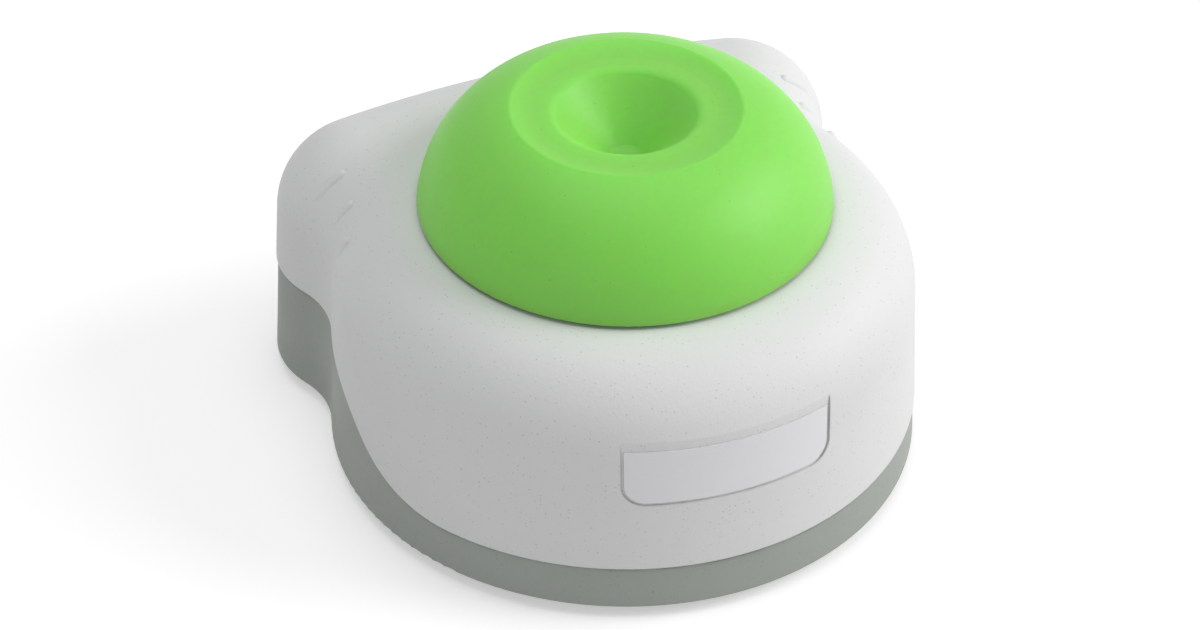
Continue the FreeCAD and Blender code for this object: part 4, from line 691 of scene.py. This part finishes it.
def makeFeet(look):
    build = bmesh.new()
    for low, high in islands("rubber_feet"):
        middle = (low + high) / 2
        reach = (high.x - low.x) / 2
        height = high.z - low.z
        half = look["grooveWidth"] / 2
        ring = look["grooveRadius"]
        sink = look["middleSink"]
        slope = look["grooveSlope"]
        depth = look["grooveDepth"]
        points = [(sink, sink), (look["middleRadius"], sink), (look["middleRadius"] + sink, 0.0),
                  (ring - half - slope, 0.0), (ring - half, depth), (ring + half, depth),
                  (ring + half + slope, 0.0)]
        for step in range(look["edgeSteps"] + 1):
            angle = math.radians(90.0 * step / look["edgeSteps"])
            points.append((reach - look["edgeRound"] * (1 - math.sin(angle)),
                           look["edgeRound"] * (1 - math.cos(angle))))
        points += [(reach, height - look["topRound"]), (reach - look["topRound"], height)]
        rings = [lambda angle, p=point: p for point in points]
        pad = latheMesh("foot_one", rings, look["segments"])
        pad.transform(Matrix.Translation((middle.x, middle.y, low.z)))
        build.from_mesh(pad)
        bpy.data.meshes.remove(pad)
    mesh = bpy.data.meshes.new("rubber_feet_detail")
    build.to_mesh(mesh)
    build.free()
    addPiece("rubber_feet_detail", mesh, "case", "foot_rubber", "rubber_feet", look["sharpAngle"])


makeFeet(footLook)
print("feet detailed")


# Springs: the coils as a piece of their own, held on the case

springLook = {"joint": "press", "sharpAngle": 40.0}


def makeSprings(look):
    coils = parts["carriage_springs"].data.copy()
    springs = addPiece("carriage_springs_coils", coils, "case", "spring_steel", "carriage_springs",
                       look["sharpAngle"])
    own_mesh(springs)


makeSprings(springLook)


# Stage: pale floor, soft light, camera

# 1 for a ray that shows the background: straight, in a gloss or through something clear
def seenRays(tree):
    rays = addNode(tree, "ShaderNodeLightPath")
    seen = rays.outputs["Is Camera Ray"]
    for label in ("Is Glossy Ray", "Is Transmission Ray"):
        seen = mathNode(tree, "MAXIMUM", seen, rays.outputs[label])
    return seen


def floorMaterial(look):
    material = bpy.data.materials.new("pale floor")
    material.use_nodes = True
    tree = material.node_tree
    shader = tree.nodes["Principled BSDF"]
    place = objectPlace(tree)
    tone = noiseNode(tree, place, look["mottleScale"], 3.0)
    join(tree, blendColour(tree, tone, look["colour"], look["otherColour"]), shader.inputs["Base Color"])
    shader.inputs["Roughness"].default_value = look["roughness"]
    shader.inputs["Specular IOR Level"].default_value = look["specular"]
    lift = addNode(tree, "ShaderNodeEmission")
    lift.inputs["Color"].default_value = (1.0, 1.0, 1.0, 1.0)
    distance = addNode(tree, "ShaderNodeVectorMath", operation="LENGTH")
    join(tree, place, distance.inputs[0])
    level = rangeNode(tree, distance.outputs["Value"], look["nearReach"], look["farReach"], look["lift"], 1.0)
    join(tree, mathNode(tree, "MULTIPLY", seenRays(tree), level), lift.inputs["Strength"])
    both = addNode(tree, "ShaderNodeAddShader")
    join(tree, shader.outputs[0], both.inputs[0])
    join(tree, lift.outputs[0], both.inputs[1])
    join(tree, both.outputs[0], tree.nodes["Material Output"].inputs["Surface"])
    return material


floorLook = {
    "colour": (0.80, 0.80, 0.80), "otherColour": (0.78, 0.78, 0.78), "mottleScale": 3.0,
    "roughness": 0.9, "specular": 0.1, "size": 12.0,
    "lift": 0.42, "nearReach": 0.35, "farReach": 1.5,  # light added, rising to 1 between the reaches
}


def makeFloor(look):
    build = bmesh.new()
    bmesh.ops.create_grid(build, x_segments=4, y_segments=4, size=look["size"] / 2)
    mesh = bpy.data.meshes.new("floor")
    build.to_mesh(mesh)
    build.free()
    floor = bpy.data.objects.new("floor", mesh)
    bpy.context.scene.collection.objects.link(floor)
    mesh.materials.append(floorMaterial(look))


makeFloor(floorLook)

worldLook = {"colour": (1.0, 1.0, 1.0), "strength": 0.35, "seenStrength": 1.0}


def backgroundNode(tree, colour, strength):
    node = addNode(tree, "ShaderNodeBackground")
    node.inputs["Color"].default_value = (*colour, 1.0)
    node.inputs["Strength"].default_value = strength
    return node.outputs[0]


def makeWorld(look):
    world = bpy.data.worlds.new("soft room")
    bpy.context.scene.world = world
    world.use_nodes = True
    tree = world.node_tree
    tree.nodes.clear()
    out = addNode(tree, "ShaderNodeOutputWorld")
    pick = addNode(tree, "ShaderNodeMixShader")
    join(tree, seenRays(tree), pick.inputs[0])
    join(tree, backgroundNode(tree, look["colour"], look["strength"]), pick.inputs[1])
    join(tree, backgroundNode(tree, look["colour"], look["seenStrength"]), pick.inputs[2])
    join(tree, pick.outputs[0], out.inputs["Surface"])


makeWorld(worldLook)

lampAim = (0.0, 0.0, 0.03)
lamps = {
    "keyLamp": {"place": (1.18, -0.40, 0.80), "size": 1.0, "power": 12.6, "colour": (1.0, 0.997, 0.985)},
    "topLamp": {"place": (-0.05, 0.15, 1.45), "size": 1.2, "power": 6.3, "colour": (0.985, 0.992, 1.0)},
    "fillLamp": {"place": (-0.85, -0.75, 0.30), "size": 0.7, "power": 0.8, "colour": (1.0, 1.0, 1.0)},
}


def makeLamp(name, look):
    data = bpy.data.lights.new(name, "AREA")
    data.shape = "DISK"
    data.size = look["size"]
    data.energy = look["power"]
    data.color = look["colour"]
    lamp = bpy.data.objects.new(name, data)
    lamp.location = look["place"]
    way = Vector(lampAim) - Vector(look["place"])
    lamp.rotation_euler = way.to_track_quat("-Z", "Y").to_euler()
    bpy.context.scene.collection.objects.link(lamp)


for name, look in lamps.items():
    makeLamp(name, look)

# Angles in degrees: heading is to the right of straight back, lens and sensor in millimetres
cameraLook = {"place": (-0.21969, -0.55476, 0.49164), "heading": 21.299, "down": 38.194, "roll": 0.677,
              "lens": 133.132, "sensor": 36.0, "nearest": 0.01}


def makeCamera(look):
    data = bpy.data.cameras.new("camera")
    data.sensor_width = look["sensor"]
    data.lens = look["lens"]
    data.clip_start = look["nearest"]
    camera = bpy.data.objects.new("camera", data)
    bpy.context.scene.collection.objects.link(camera)
    turn = Matrix.Rotation(math.radians(-look["heading"]), 4, "Z")
    tilt = Matrix.Rotation(math.radians(90.0 - look["down"]), 4, "X")
    roll = Matrix.Rotation(math.radians(look["roll"]), 4, "Z")
    camera.matrix_world = Matrix.Translation(look["place"]) @ turn @ tilt @ roll
    bpy.context.scene.camera = camera


makeCamera(cameraLook)
bpy.context.scene.view_settings.view_transform = "Standard"
print("stage, lamps and camera set")
